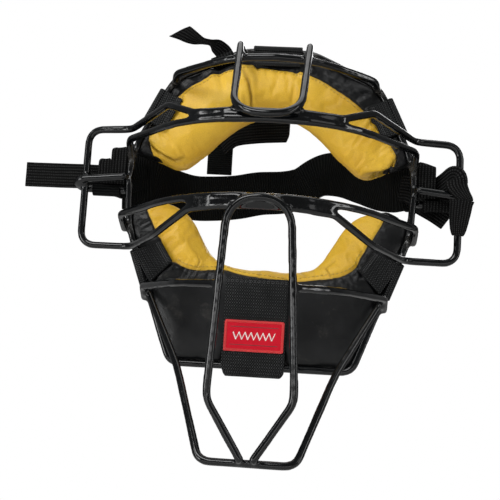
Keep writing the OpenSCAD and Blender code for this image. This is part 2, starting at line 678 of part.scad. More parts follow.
rim_wire();
crown_bar();
crown_guard();
brow_bar();
eye_bar();
ear_guard_wire();
strap_loop(-1);  // strap_loop_left
strap_loop(1);  // strap_loop_right
nose_guard();
throat_guard();
chin_bar(-1);  // chin_bar_left
chin_bar(1);  // chin_bar_right
upper_pad_foam();
upper_pad_face();
upper_pad_backing();
lower_pad_foam();
lower_pad_face();
lower_pad_backing();
chin_strap();
chin_strap_end();
label_patch();
label_border();
placed(top_place, 1) tab_wrap(top_tab_w);  // top_tab
placed(upper_place, -1) tab_wrap(tab_w);  // upper_left_tab
placed(upper_place, 1) tab_wrap(tab_w);  // upper_right_tab
placed(lower_place, -1) tab_wrap(tab_w);  // lower_left_tab
placed(lower_place, 1) tab_wrap(tab_w);  // lower_right_tab
placed(top_place, 1) tab_flap(top_tab_w - 1, tab_flap_l);  // top_tab_flap
placed(upper_place, -1) tab_flap(tab_w - 1, tab_flap_l);  // upper_left_flap
placed(upper_place, 1) tab_flap(tab_w - 1, tab_flap_l);  // upper_right_flap
placed(lower_place, -1) tab_flap(tab_w - 1, tab_flap_l + 6);  // lower_left_flap
placed(lower_place, 1) tab_flap(tab_w - 1, tab_flap_l + 6);  // lower_right_flap
back_band();
crown_strap();
crown_strap_fold();
side_strap(-1);  // left_side_strap
side_strap(1);  // right_side_strap
left_strap_fold();
left_strap_tail();
right_strap_fold();
right_strap_tail();
crown_strap_loop();
crown_strap_tail();
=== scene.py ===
"""Dresses the umpire mask: a dipped wire cage, leather-faced pads, webbing tabs and an elastic harness."""
from __future__ import annotations

import json
import logging
import math
from dataclasses import dataclass, field, replace
from enum import Enum
from typing import Callable, Iterable, Sequence

import bmesh
import bpy
from mathutils import Matrix, Vector, noise

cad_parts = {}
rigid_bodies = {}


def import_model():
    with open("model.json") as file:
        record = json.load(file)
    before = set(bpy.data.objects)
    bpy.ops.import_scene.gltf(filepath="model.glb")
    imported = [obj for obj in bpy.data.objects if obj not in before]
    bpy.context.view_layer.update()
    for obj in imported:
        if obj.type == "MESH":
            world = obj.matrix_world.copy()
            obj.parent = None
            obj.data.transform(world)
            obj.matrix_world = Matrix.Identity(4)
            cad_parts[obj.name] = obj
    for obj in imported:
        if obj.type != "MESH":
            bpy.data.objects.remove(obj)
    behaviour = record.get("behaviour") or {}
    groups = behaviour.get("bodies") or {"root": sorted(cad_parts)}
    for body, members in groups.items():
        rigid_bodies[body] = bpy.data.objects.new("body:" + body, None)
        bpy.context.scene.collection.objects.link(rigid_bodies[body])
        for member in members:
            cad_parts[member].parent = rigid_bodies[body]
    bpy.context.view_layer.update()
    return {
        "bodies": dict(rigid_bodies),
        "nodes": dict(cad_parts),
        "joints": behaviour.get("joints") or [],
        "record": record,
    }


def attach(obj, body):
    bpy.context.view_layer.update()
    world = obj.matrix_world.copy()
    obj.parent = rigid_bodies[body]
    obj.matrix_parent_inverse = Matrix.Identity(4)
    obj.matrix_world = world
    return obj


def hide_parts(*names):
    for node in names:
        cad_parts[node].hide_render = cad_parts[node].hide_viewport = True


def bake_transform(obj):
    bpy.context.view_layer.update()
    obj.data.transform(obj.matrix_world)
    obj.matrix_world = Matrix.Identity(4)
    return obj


LOG = logging.getLogger("umpire_mask")
MM = 0.001
Point = tuple[float, float, float]
Flat = tuple[float, float]
Colour = tuple[float, float, float, float]
Piece = bpy.types.Object
Finish = bpy.types.Material
Tree = bpy.types.NodeTree
Node = bpy.types.Node
Socket = bpy.types.NodeSocket
Sockets = bpy.types.bpy_prop_collection
Station = tuple[Point, Point]
PadRow = tuple[float, float, float, float, float]
UP: Point = (0.0, 0.0, 1.0)
ACROSS: Point = (1.0, 0.0, 0.0)


class Body(Enum):
    """The bodies that pieces ride on."""

    CAGE = "cage"
    HARNESS = "harness"
    TOP_FLAP = "top_flap"
    UPPER_LEFT_FLAP = "upper_left_flap"
    UPPER_RIGHT_FLAP = "upper_right_flap"
    LOWER_LEFT_FLAP = "lower_left_flap"
    LOWER_RIGHT_FLAP = "lower_right_flap"
    CHIN_STRAP_END = "chin_strap_end"
    LEFT_TAIL = "left_tail"
    RIGHT_TAIL = "right_tail"
    CROWN_TAIL = "crown_tail"


class Slot(Enum):
    """The record's material slots."""

    WIRE = "coated_wire"
    LEATHER = "leather"
    WEBBING = "webbing"
    LABEL = "label_red"
    LABEL_BORDER = "label_border_red"


# Small helpers for the scene's objects


def deselect() -> None:
    """Deselects every object."""
    for chosen in bpy.context.view_layer.objects:
        chosen.select_set(False)


def make_active(piece: Piece) -> None:
    """Selects one object alone and makes it the active one.

    Args:
        piece: The object.
    """
    deselect()
    piece.select_set(True)
    bpy.context.view_layer.objects.active = piece


def finish_modifier(piece: Piece, kind: str, **settings: object) -> None:
    """Adds a modifier to a piece and applies it.

    Args:
        piece: The object.
        kind: The modifier's type.
        settings: Values for the modifier's own properties.
    """
    make_active(piece)
    modifier = piece.modifiers.new(kind.lower(), kind)
    for name, value in settings.items():
        setattr(modifier, name, value)
    bpy.ops.object.modifier_apply(modifier=modifier.name)


def new_piece(name: str, bm: bmesh.types.BMesh) -> Piece:
    """Makes an object of a bmesh and frees the bmesh.

    Args:
        name: The object's name.
        bm: The mesh data.

    Returns:
        The new object, at the origin.
    """
    mesh = bpy.data.meshes.new(name)
    bm.to_mesh(mesh)
    bm.free()
    piece = bpy.data.objects.new(name, mesh)
    bpy.context.scene.collection.objects.link(piece)
    return piece


def smooth_shade(piece: Piece, angle: float | None = None) -> None:
    """Shades a piece smooth, or smooth up to an angle.

    Args:
        piece: The object.
        angle: The sharpest angle in degrees that stays smooth, or None for all.
    """
    make_active(piece)
    if angle is None:
        bpy.ops.object.shade_smooth()
    else:
        bpy.ops.object.shade_smooth_by_angle(angle=math.radians(angle))


def even_normals(piece: Piece, rounds: int) -> None:
    """Evens out a piece's shading, so that long highlights run without breaks.

    Args:
        piece: The object.
        rounds: How many times each normal takes the mean of its neighbours'.
    """
    mesh = piece.data
    normals = [vertex.normal.copy() for vertex in mesh.vertices]
    edges = [tuple(edge.vertices) for edge in mesh.edges]
    for _ in range(rounds):
        sums = [normal.copy() for normal in normals]
        for a, b in edges:
            sums[a] += normals[b]
            sums[b] += normals[a]
        normals = [total.normalized() for total in sums]
    mesh.normals_split_custom_set_from_vertices(normals)


def dress(piece: Piece, *finishes: Finish) -> None:
    """Gives a piece its materials, in the order of its material numbers.

    Args:
        piece: The object.
        finishes: The materials.
    """
    numbers = [face.material_index for face in piece.data.polygons]
    piece.data.materials.clear()
    for finish in finishes:
        piece.data.materials.append(finish)
    for face, number in zip(piece.data.polygons, numbers):
        face.material_index = min(number, len(finishes) - 1)


def settle(pieces: Iterable[Piece], body: Body) -> None:
    """Gives pieces their body, and logs them.

    Args:
        pieces: The objects.
        body: The body that they ride on.
    """
    for piece in pieces:
        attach(piece, body.value)
        LOG.info("%s: %d faces", piece.name, len(piece.data.polygons))


def joined(name: str, pieces: Sequence[Piece]) -> Piece:
    """Joins pieces into one.

    Args:
        name: The joined piece's name.
        pieces: The objects to join.

    Returns:
        The joined object.
    """
    deselect()
    for piece in pieces:
        piece.select_set(True)
    bpy.context.view_layer.objects.active = pieces[0]
    bpy.ops.object.join()
    pieces[0].name = name
    return pieces[0]


def catmull(values: Sequence[Sequence[float]], t: float) -> list[float]:
    """A smooth curve through rows of numbers.

    Args:
        values: The rows that the curve passes through.
        t: The place on the curve, where row k is at t = k.

    Returns:
        The row at t.
    """
    last = len(values) - 1
    k = min(last - 1, max(0, int(math.floor(t))))
    f = t - k
    a, b = values[max(0, k - 1)], values[k]
    c, d = values[k + 1], values[min(last, k + 2)]
    return [
        0.5 * (2 * b[i] + (c[i] - a[i]) * f
               + (2 * a[i] - 5 * b[i] + 4 * c[i] - d[i]) * f * f
               + (3 * b[i] - a[i] - 3 * c[i] + d[i]) * f * f * f)
        for i in range(len(b))
    ]


def held(value: float) -> float:
    """Holds a value between 0 and 1.

    Args:
        value: The value.

    Returns:
        The nearest number from 0 to 1.
    """
    return max(0.0, min(1.0, value))


def bell(distance: float, width: float) -> float:
    """A soft bump that falls from 1 to 0.

    Args:
        distance: The distance from its middle.
        width: The distance at which it has fallen to about a third.

    Returns:
        A number from 0 to 1.
    """
    return math.exp(-(distance / width) ** 2)


def distance_to_path(x: float, z: float, path: Sequence[Flat]) -> tuple[float, float, float]:
    """The place of a point beside a path in the XZ plane.

    Args:
        x: The point's X.
        z: The point's Z.
        path: The path's points.

    Returns:
        The distance, the side as a sign, and how far along the path it is, from 0 to 1.
    """
    best = (1e9, 1.0, 0.0)
    count = len(path) - 1
    for k in range(count):
        ax, az = path[k]
        bx, bz = path[k + 1]
        dx, dz = bx - ax, bz - az
        f = held(((x - ax) * dx + (z - az) * dz) / (dx * dx + dz * dz))
        px, pz = x - ax - f * dx, z - az - f * dz
        far = math.hypot(px, pz)
        if far < best[0]:
            best = (far, math.copysign(1.0, dx * pz - dz * px), (k + f) / count)
    return best


def lengths_along(points: Sequence[Vector]) -> list[float]:
    """Measures a line of points.

    Args:
        points: The points.

    Returns:
        The distance along the line to each point.
    """
    lengths = [0.0]
    for before, after in zip(points, points[1:]):
        lengths.append(lengths[-1] + (after - before).length)
    return lengths


def on_path(path: Sequence[Flat], share: float) -> Flat:
    """A point on a path.

    Args:
        path: The path's points.
        share: How far along the path the point is, from 0 to 1.

    Returns:
        The point.
    """
    place = share * (len(path) - 1)
    k = min(len(path) - 2, int(place))
    f = place - k
    return (path[k][0] * (1 - f) + path[k + 1][0] * f, path[k][1] * (1 - f) + path[k + 1][1] * f)


def arc(radius: float, angles: Iterable[int]) -> list[Flat]:
    """Points on a circle.

    Args:
        radius: Its radius.
        angles: The points' angles in degrees.

    Returns:
        The points.
    """
    return [(radius * math.cos(math.radians(a)), radius * math.sin(math.radians(a))) for a in angles]


# Shader nodes


class Graph:
    """Builds a node tree a step at a time."""

    def __init__(self, tree: Tree) -> None:
        """Starts on an empty tree.

        Args:
            tree: The tree to build.
        """
        self.tree = tree
        tree.nodes.clear()

    def add(self, kind: str, inputs: dict[str | int, object] | None = None, **settings: object) -> Node:
        """Adds a node.

        Args:
            kind: The node's type without the ShaderNode prefix, or its full type.
            inputs: Values or output sockets for its inputs, by name or number.
            settings: Values for its own properties.

        Returns:
            The node.
        """
        full = kind if kind.startswith("Node") else "ShaderNode" + kind
        node = self.tree.nodes.new(full)
        for name, value in settings.items():
            setattr(node, name, value)
        self.put(node, inputs or {})
        return node

    def put(self, node: Node, inputs: dict[str | int, object]) -> None:
        """Sets or links a node's inputs.

        Args:
            node: The node.
            inputs: Values or output sockets, by the input's name or number.
        """
        for name, value in inputs.items():
            if isinstance(value, Socket):
                self.tree.links.new(value, node.inputs[name])
            else:
                node.inputs[name].default_value = value

    def math(self, operation: str, a: object, b: object = 0.0, c: object = None,
             clamp: bool = False) -> Socket:
        """Adds a Math node.

        Args:
            operation: The operation.
            a: The first value or socket.
            b: The second value or socket.
            c: The third one, where the operation has it.
            clamp: Whether the result is held between 0 and 1.

        Returns:
            The result's socket.
        """
        node = self.add("Math", {0: a, 1: b}, operation=operation, use_clamp=clamp)
        if c is not None:
            self.put(node, {2: c})
        return node.outputs[0]

    def noise(self, where: Socket, scale: object, detail: float = 2.0, roughness: float = 0.5,
              distortion: float = 0.0) -> Socket:
        """Adds a Noise Texture node.

        Args:
            where: The place that it is read at.
            scale: How many of its cells there are in a metre.
            detail: How many finer layers it has.
            roughness: How strong the finer layers are.
            distortion: How far it is distorted.

        Returns:
            The value's socket.
        """
        return self.add("TexNoise", {
            "Vector": where, "Scale": scale, "Detail": detail, "Roughness": roughness,
            "Distortion": distortion}).outputs[0]

    def blend(self, factor: object, a: object, b: object) -> Socket:
        """Mixes two colours.

        Args:
            factor: The share of the second colour.
            a: The first colour.
            b: The second colour.

        Returns:
            The colour's socket.
        """
        return self.add("Mix", {0: factor, 6: a, 7: b}, data_type="RGBA").outputs[2]

    def scaled(self, colour: Socket, share: Socket) -> Socket:
        """Darkens or lightens a colour.

        Args:
            colour: The colour.
            share: What it is multiplied by.

        Returns:
            The colour's socket.
        """
        return self.add("VectorMath", {0: colour, "Scale": share}, operation="SCALE").outputs[0]

    def bump(self, strength: float, depth: float, height: Socket, normal: Socket | None = None) -> Socket:
        """Adds a Bump node.

        Args:
            strength: Its strength.
            depth: The height of the relief in metres.
            height: The height's socket.
            normal: The normal that it builds on.

        Returns:
            The normal's socket.
        """
        node = self.add("Bump", {"Strength": strength, "Distance": depth, "Height": height})
        if normal is not None:
            self.put(node, {"Normal": normal})
        return node.outputs[0]

    def ramp(self, value: object, low: float, high: float, start: float = 0.0, end: float = 1.0) -> Socket:
        """Maps a value from one range to another, held to its ends.

        Args:
            value: The value's socket.
            low: The value that gives start.
            high: The value that gives end.
            start: The result at low.
            end: The result at high.

        Returns:
            The result's socket.
        """
        return self.add("MapRange", {0: value, 1: low, 2: high, 3: start, 4: end}, clamp=True).outputs[0]


@dataclass(frozen=True)
class GroupSocket:
    """One input or output of a node group.

    Attributes:
        name: Its name.
        kind: Float, Color or Vector.
        default: Its value, for an input.
    """

    name: str
    kind: str = "Float"
    default: object = None


def node_group(
    name: str,
    inputs: Sequence[GroupSocket],
    outputs: Sequence[GroupSocket],
    fill: Callable[[Graph, Sockets], dict[str, Socket]],
) -> Tree:
    """Makes a shader node group, once.

    Args:
        name: The group's name.
        inputs: Its inputs.
        outputs: Its outputs.
        fill: Builds the group's nodes from its inputs, and returns the socket of each output.

    Returns:
        The group.
    """
    known = bpy.data.node_groups.get(name)
    if known:
        return known
    group = bpy.data.node_groups.new(name, "ShaderNodeTree")
    for socket in inputs:
        made = group.interface.new_socket(socket.name, in_out="INPUT", socket_type="NodeSocket" + socket.kind)
        if socket.default is not None:
            made.default_value = socket.default
    for socket in outputs:
        group.interface.new_socket(socket.name, in_out="OUTPUT", socket_type="NodeSocket" + socket.kind)
    graph = Graph(group)
    graph.add("NodeGroupOutput", fill(graph, graph.add("NodeGroupInput").outputs))
    return group


def grain_group() -> Tree:
    """The pebbled grain of leather and vinyl.

    Returns:
        The group, with Height and Pits out.
    """

    def fill(g: Graph, given: Sockets) -> dict[str, Socket]:
        cells = g.add("TexVoronoi", {"Vector": given["Vector"], "Scale": given["Scale"]},
                      feature="DISTANCE_TO_EDGE")
        fine = g.noise(given["Vector"], g.math("MULTIPLY", given["Scale"], 0.55), 4.0, 0.6)
        pits = g.ramp(cells.outputs["Distance"], 0.0, 0.16)
        return {"Height": g.math("MULTIPLY_ADD", fine, 0.5, pits), "Pits": pits}

    return node_group(
        "leather_grain",
        [GroupSocket("Vector", "Vector"), GroupSocket("Scale", "Float", 700.0)],
        [GroupSocket("Height"), GroupSocket("Pits")], fill)


def tone_group() -> Tree:
    """Slow changes of tone over a surface, with a lighter and a darker colour.

    Returns:
        The group, with Color out.
    """

    def fill(g: Graph, given: Sockets) -> dict[str, Socket]:
        share = g.ramp(g.noise(given["Vector"], given["Scale"], 5.0, 0.55), 0.36, 0.66)
        return {"Color": g.blend(share, given["Dark"], given["Light"])}

    return node_group(
        "slow_tone",
        [GroupSocket("Vector", "Vector"), GroupSocket("Scale", "Float", 30.0),
         GroupSocket("Dark", "Color", (0.0, 0.0, 0.0, 1.0)),
         GroupSocket("Light", "Color", (1.0, 1.0, 1.0, 1.0))],
        [GroupSocket("Color", "Color")], fill)


def weave_group() -> Tree:
    """The ribs of woven webbing, from a map in metres along and across the strap.

    Returns:
        The group, with Height and Thread out.
    """

    def fill(g: Graph, given: Sockets) -> dict[str, Socket]:
        split = g.add("SeparateXYZ", {0: given["Vector"]})
        shift = g.math("MULTIPLY", g.noise(given["Vector"], 260.0), 0.0005)
        waves = []
        for number, pitch in enumerate(("Weft Pitch", "Warp Pitch")):
            turns = g.math("MULTIPLY", g.math("ADD", split.outputs[number], shift), math.tau)
            waves.append(g.math("SINE", g.math("DIVIDE", turns, given[pitch])))
        rib = g.math("MULTIPLY", waves[0], given["Weft Depth"])
        cord = g.math("MULTIPLY", waves[1], given["Warp Depth"])
        dots = g.math("MULTIPLY", g.math("MULTIPLY", *waves), given["Dot Depth"])
        height = g.math("ADD", g.math("ADD", rib, cord), dots)
        return {"Height": height, "Thread": g.ramp(height, -0.15, 0.7)}

    return node_group(
        "webbing_weave",
        [GroupSocket("Vector", "Vector"), GroupSocket("Weft Pitch", "Float", 0.0014),
         GroupSocket("Warp Pitch", "Float", 0.0011), GroupSocket("Weft Depth", "Float", 0.7),
         GroupSocket("Warp Depth", "Float", 0.3), GroupSocket("Dot Depth", "Float", 0.3)],
        [GroupSocket("Height"), GroupSocket("Thread")], fill)


def smudge_group() -> Tree:
    """Scattered dusty smudges and small specks.

    Returns:
        The group, with Mask out.
    """

    def fill(g: Graph, given: Sockets) -> dict[str, Socket]:
        broad = g.ramp(g.noise(given["Vector"], given["Scale"], 6.0, 0.7, 0.8), 0.56, 0.74)
        small = g.ramp(g.noise(given["Vector"], 420.0, 3.0), 0.52, 0.68)
        dusty = g.math("MULTIPLY", broad, g.math("MULTIPLY_ADD", small, 0.75))
        return {"Mask": g.math("MULTIPLY", dusty, given["Amount"], clamp=True)}

    return node_group(
        "dusty_smudges",
        [GroupSocket("Vector", "Vector"), GroupSocket("Scale", "Float", 45.0),
         GroupSocket("Amount", "Float", 0.5)],
        [GroupSocket("Mask")], fill)


def grouped(g: Graph, group: Tree, **inputs: object) -> Node:
    """Places a node group in a graph.

    Args:
        g: The graph.
        group: The group.
        inputs: Values or sockets, with underscores for the spaces in their names.

    Returns:
        The group's node.
    """
    node = g.add("Group", node_tree=group)
    g.put(node, {name.replace("_", " "): value for name, value in inputs.items()})
    return node


def new_material(name: str) -> tuple[Finish, Graph, Node, Socket]:
    """Starts a material with a Principled BSDF.

    Args:
        name: The material's name.

    Returns:
        The material, its graph, the shader's node and the place on the object.
    """
    material = bpy.data.materials.new(name)
    material.use_nodes = True
    g = Graph(material.node_tree)
    shader = g.add("BsdfPrincipled")
    g.add("OutputMaterial", {"Surface": shader.outputs[0]})
    return material, g, shader, g.add("TexCoord").outputs["Object"]


@dataclass(frozen=True)
class DippedVinyl:
    """The cage's glossy coating, which has run and set in long streaks.

    Attributes:
        dark: Its colour.
        lift: Its colour where it is thin.
        glint_colour: The lighter colour painted at the wires' cut ends as a highlight.
        roughness: How rough it is.
        gloss: How strongly it mirrors.
        streak: The height of the runs in metres.
    """

    dark: Colour = (0.0005, 0.0007, 0.0009, 1.0)
    lift: Colour = (0.0018, 0.0023, 0.0028, 1.0)
    glint_colour: Colour = (0.045, 0.042, 0.038, 1.0)
    roughness: float = 0.12
    gloss: float = 0.30
    streak: float = 0.00028

    def build(self) -> Finish:
        """Makes the material.

        Returns:
            The material.
        """
        material, g, shader, where = new_material("dipped_vinyl")
        tone = grouped(g, tone_group(), Vector=where, Scale=70.0, Dark=self.dark, Light=self.lift)
        fine = g.noise(where, 420.0)
        height = g.math("MULTIPLY_ADD", fine, 0.02, g.noise(where, 70.0, 2.0, 0.4))
        # Painted highlight: the wires' cut ends get a lighter, slightly rougher coating colour.
        tips = g.add("Attribute", attribute_name="TipGlint").outputs["Fac"]
        glint_mask = g.math("MULTIPLY", tips, g.ramp(fine, 0.38, 0.62, 0.25, 1.0), clamp=True)
        matt = g.ramp(fine, 0.35, 0.75, self.roughness - 0.04, self.roughness + 0.08)
        g.put(shader, {
            "Base Color": g.blend(glint_mask, tone.outputs["Color"], self.glint_colour),
            "Roughness": g.math("MULTIPLY_ADD", glint_mask, 0.22, matt),
            "Normal": g.bump(0.6, self.streak, height),
            "Specular IOR Level": self.gloss})
        return material


@dataclass(frozen=True)
class Leather:
    """Grained leather or vinyl sheet with a soft sheen.

    Attributes:
        name: The material's name.
        dark: The colour in its darker patches.
        light: The colour in its lighter patches.
        roughness: How rough it is.
        gloss: How strongly it mirrors.
        grain_scale: How many grain cells there are in a metre.
        grain_depth: The depth of the grain in metres.
        wave_depth: The depth of its slow waves in metres.
        crease_shade_share: Its colour's share where painted shade darkens the creases and seams.
        dust: The colour of its smudges.
        dust_amount: How strong the smudges are.
    """

    name: str
    dark: Colour
    light: Colour
    roughness: float = 0.42
    gloss: float = 0.35
    grain_scale: float = 900.0
    grain_depth: float = 0.00006
    wave_depth: float = 0.0008
    crease_shade_share: float = 0.42
    dust: Colour = (0.5, 0.47, 0.4, 1.0)
    dust_amount: float = 0.0

    def build(self) -> Finish:
        """Makes the material.

        Returns:
            The material.
        """
        material, g, shader, where = new_material(self.name)
        tone = grouped(g, tone_group(), Vector=where, Scale=22.0, Dark=self.dark, Light=self.light)
        grain = grouped(g, grain_group(), Vector=where, Scale=self.grain_scale)
        shade = g.ramp(grain.outputs["Pits"], 0.0, 1.0, 0.86, 1.0)
        pitted = g.scaled(tone.outputs["Color"], shade)
        # Painted shade: the colour is darkened along the pads' seams and creases.
        crease_shade_mask = g.add("Attribute", attribute_name="CreaseShade").outputs["Fac"]
        shaded_in_creases = g.scaled(pitted, g.ramp(crease_shade_mask, 0.0, 1.0, 1.0, self.crease_shade_share))
        smudge = grouped(g, smudge_group(), Vector=where, Amount=self.dust_amount)
        waves = g.noise(where, 75.0, 3.0)
        soft = g.bump(0.35, self.wave_depth, waves)
        g.put(shader, {
            "Base Color": g.blend(smudge.outputs["Mask"], shaded_in_creases, self.dust),
            "Roughness": g.ramp(waves, 0.3, 0.7, self.roughness - 0.06, self.roughness + 0.08),
            "Normal": g.bump(0.7, self.grain_depth, grain.outputs["Height"], soft),
            "Specular IOR Level": self.gloss})
        return material


@dataclass(frozen=True)
class Webbing:
    """Woven webbing, mapped along and across each strap in metres.

    Attributes:
        name: The material's name.
        dark: The colour between the threads.
        light: The colour on the threads.
        weft_pitch: The spacing of the ribs along the strap.
        warp_pitch: The spacing of the threads across it.
        weft_depth: How strong the ribs are.
        warp_depth: How strong the lengthwise threads are.
        dot_depth: How strong the dots of the crossing threads are.
        relief: The height of the weave in metres.
        roughness: How rough it is.
        gloss: How strongly it mirrors.
    """

    name: str
    dark: Colour = (0.0012, 0.0013, 0.0015, 1.0)
    light: Colour = (0.0600, 0.0620, 0.0620, 1.0)
    weft_pitch: float = 0.0021
    warp_pitch: float = 0.0016
    weft_depth: float = 0.12
    warp_depth: float = 0.10
    dot_depth: float = 0.60
    relief: float = 0.0005
    roughness: float = 0.8
    gloss: float = 0.08

    def build(self) -> Finish:
        """Makes the material.

        Returns:
            The material.
        """
        material, g, shader, where = new_material(self.name)
        strap = g.add("UVMap", uv_map="Strap").outputs[0]
        weave = grouped(
            g, weave_group(), Vector=strap, Weft_Pitch=self.weft_pitch, Weft_Depth=self.weft_depth,
            Warp_Pitch=self.warp_pitch, Warp_Depth=self.warp_depth, Dot_Depth=self.dot_depth).outputs
        patch = g.ramp(g.noise(where, 60.0, 3.0), 0.3, 0.7, 0.55, 1.0)
        mixed = g.math("MULTIPLY", weave["Thread"], patch)
        height = g.math("MULTIPLY_ADD", g.noise(where, 1500.0, 3.0), 0.5, weave["Height"])
        g.put(shader, {
            "Base Color": g.blend(mixed, self.dark, self.light),
            "Normal": g.bump(0.8, self.relief, height),
            "Roughness": self.roughness,
            "Specular IOR Level": self.gloss})
        return material


@dataclass(frozen=True)
class Thread:
    """Sewing thread or embroidery, with a fine twist.

    Attributes:
        name: The material's name.
        dark: The colour in the twist's grooves.
        light: The colour on the strands.
        roughness: How rough it is.
        relief: The height of the twist in metres.
        sheen: How strong its soft sheen is.
    """

    name: str
    dark: Colour
    light: Colour
    roughness: float = 0.55
    relief: float = 0.0001
    sheen: float = 0.2

    def build(self) -> Finish:
        """Makes the material.

        Returns:
            The material.
        """
        material, g, shader, where = new_material(self.name)
        strands = g.noise(where, 2200.0)
        lit = g.ramp(g.noise(where, 180.0), 0.3, 0.7, 0.6, 1.0)
        share = g.math("MULTIPLY", g.ramp(strands, 0.35, 0.65), lit)
        g.put(shader, {
            "Base Color": g.blend(share, self.dark, self.light),
            "Normal": g.bump(0.6, self.relief, strands),
            "Roughness": self.roughness,
            "Sheen Weight": self.sheen})
        return material


# Straps


CURVE_STEPS = 24
TANGENT_STEP = 0.02
WAVER_LENGTH = 9.0
WAVER_SHIFT = Vector((3.1, 0.7, 5.3))


@dataclass
class Strap:
    """A flat strap that follows a route of points, each with the direction of the strap's width.

    Attributes:
        name: The piece's name.
        route: Its stations in millimetres.
        width: Its width in millimetres.
        thickness: Its thickness in millimetres.
        step: The spacing of its rows in millimetres.
        columns: How many faces it has across.
        cup: How far its middle stands off its edges in millimetres.
        waver: How far its surface strays from its route in millimetres.
        taper: Its width as a share of the full one, at a distance along it in millimetres.
        end_trim: What is cut off its far end, in millimetres, at a place from -1 to 1 across it.
        rows: Its stations as rows of six numbers.
        lengths: The distance along it at each small step of its curve, in millimetres.
    """

    name: str
    route: Sequence[Station]
    width: float
    thickness: float = 1.5
    step: float = 1.6
    columns: int = 14
    cup: float = 0.0
    waver: float = 0.15
    taper: Callable[[float], float] | None = None
    end_trim: Callable[[float], float] | None = None
    rows: list[list[float]] = field(default_factory=list)
    lengths: list[float] = field(default_factory=list)

    def __post_init__(self) -> None:
        """Lays the fine curve through the stations and adds up its length."""
        self.rows = [list(point) + list(wide) for point, wide in self.route]
        self.lengths = lengths_along([
            Vector(catmull(self.rows, k / CURVE_STEPS)[:3])
            for k in range((len(self.rows) - 1) * CURVE_STEPS + 1)])

    @property
    def length(self) -> float:
        """The strap's length in millimetres."""
        return self.lengths[-1]

    def row_at(self, distance: float) -> float:
        """Finds the place on the route that is a distance along it.

        Args:
            distance: The distance in millimetres.

        Returns:
            The place, counted in stations.
        """
        distance = min(max(distance, 0.0), self.length)
        low, high = 0, len(self.lengths) - 1
        while high - low > 1:
            middle = (low + high) // 2
            if self.lengths[middle] <= distance:
                low = middle
            else:
                high = middle
        span = self.lengths[high] - self.lengths[low]
        return (low + (distance - self.lengths[low]) / max(span, 1e-9)) / CURVE_STEPS

    def at(self, distance: float, across: float, lift: float = 0.0) -> tuple[Vector, Vector, Vector, Vector]:
        """A point on the strap and the directions there.

        Args:
            distance: How far along it is, in millimetres.
            across: Its place across the strap, from -1 to 1.
            lift: Its height off the middle surface in millimetres.

        Returns:
            The point in metres, and the directions along, across and off the strap.
        """
        t = self.row_at(distance)
        here = catmull(self.rows, t)
        before = Vector(catmull(self.rows, max(0.0, t - TANGENT_STEP))[:3])
        after = Vector(catmull(self.rows, min(len(self.rows) - 1, t + TANGENT_STEP))[:3])
        along = (after - before).normalized()
        wide = Vector(here[3:])
        wide = (wide - along * wide.dot(along)).normalized()
        off = along.cross(wide)
        rise = lift + self.cup * (1 - across * across)
        half = self.width / 2 * (self.taper(distance) if self.taper else 1.0)
        point = Vector(here[:3]) + wide * across * half + off * rise
        if self.waver:
            point += off * self.waver * noise.noise(point / WAVER_LENGTH + WAVER_SHIFT)
        return point * MM, along, wide, off

    def build(self, finish: Finish) -> Piece:
        """Makes the strap from a grid that is laid along the route, thickened and rounded.

        Args:
            finish: Its material.

        Returns:
            The strap.
        """
        count = max(6, round(self.length / self.step))
        deselect()
        bpy.ops.mesh.primitive_grid_add(x_subdivisions=count, y_subdivisions=self.columns, size=2)
        piece = bpy.context.object
        piece.name = self.name
        mesh = piece.data
        while mesh.uv_layers:
            mesh.uv_layers.remove(mesh.uv_layers[0])
        layer = mesh.uv_layers.new(name="Strap")
        for loop in mesh.loops:
            place = mesh.vertices[loop.vertex_index].co
            layer.data[loop.index].uv = ((place.x + 1) / 2 * self.length * MM, place.y * self.width / 2 * MM)
        for vertex in mesh.vertices:
            across = vertex.co.y
            share = (vertex.co.x + 1) / 2
            distance = share * self.length
            if self.end_trim:
                distance -= self.end_trim(across) * max(0.0, share - 0.5) * 2
            vertex.co = self.at(distance, across)[0]
        finish_modifier(piece, "SOLIDIFY", thickness=self.thickness * MM, offset=0.0)
        finish_modifier(piece, "BEVEL", width=min(0.45, self.thickness * 0.3) * MM, segments=2,
                        limit_method="ANGLE", angle_limit=math.radians(60))
        make_active(piece)
        bpy.ops.object.mode_set(mode="EDIT")
        bpy.ops.mesh.select_all(action="SELECT")
        bpy.ops.mesh.normals_make_consistent(inside=False)
        bpy.ops.object.mode_set(mode="OBJECT")
        smooth_shade(piece, 50)
        dress(piece, finish)
        return piece


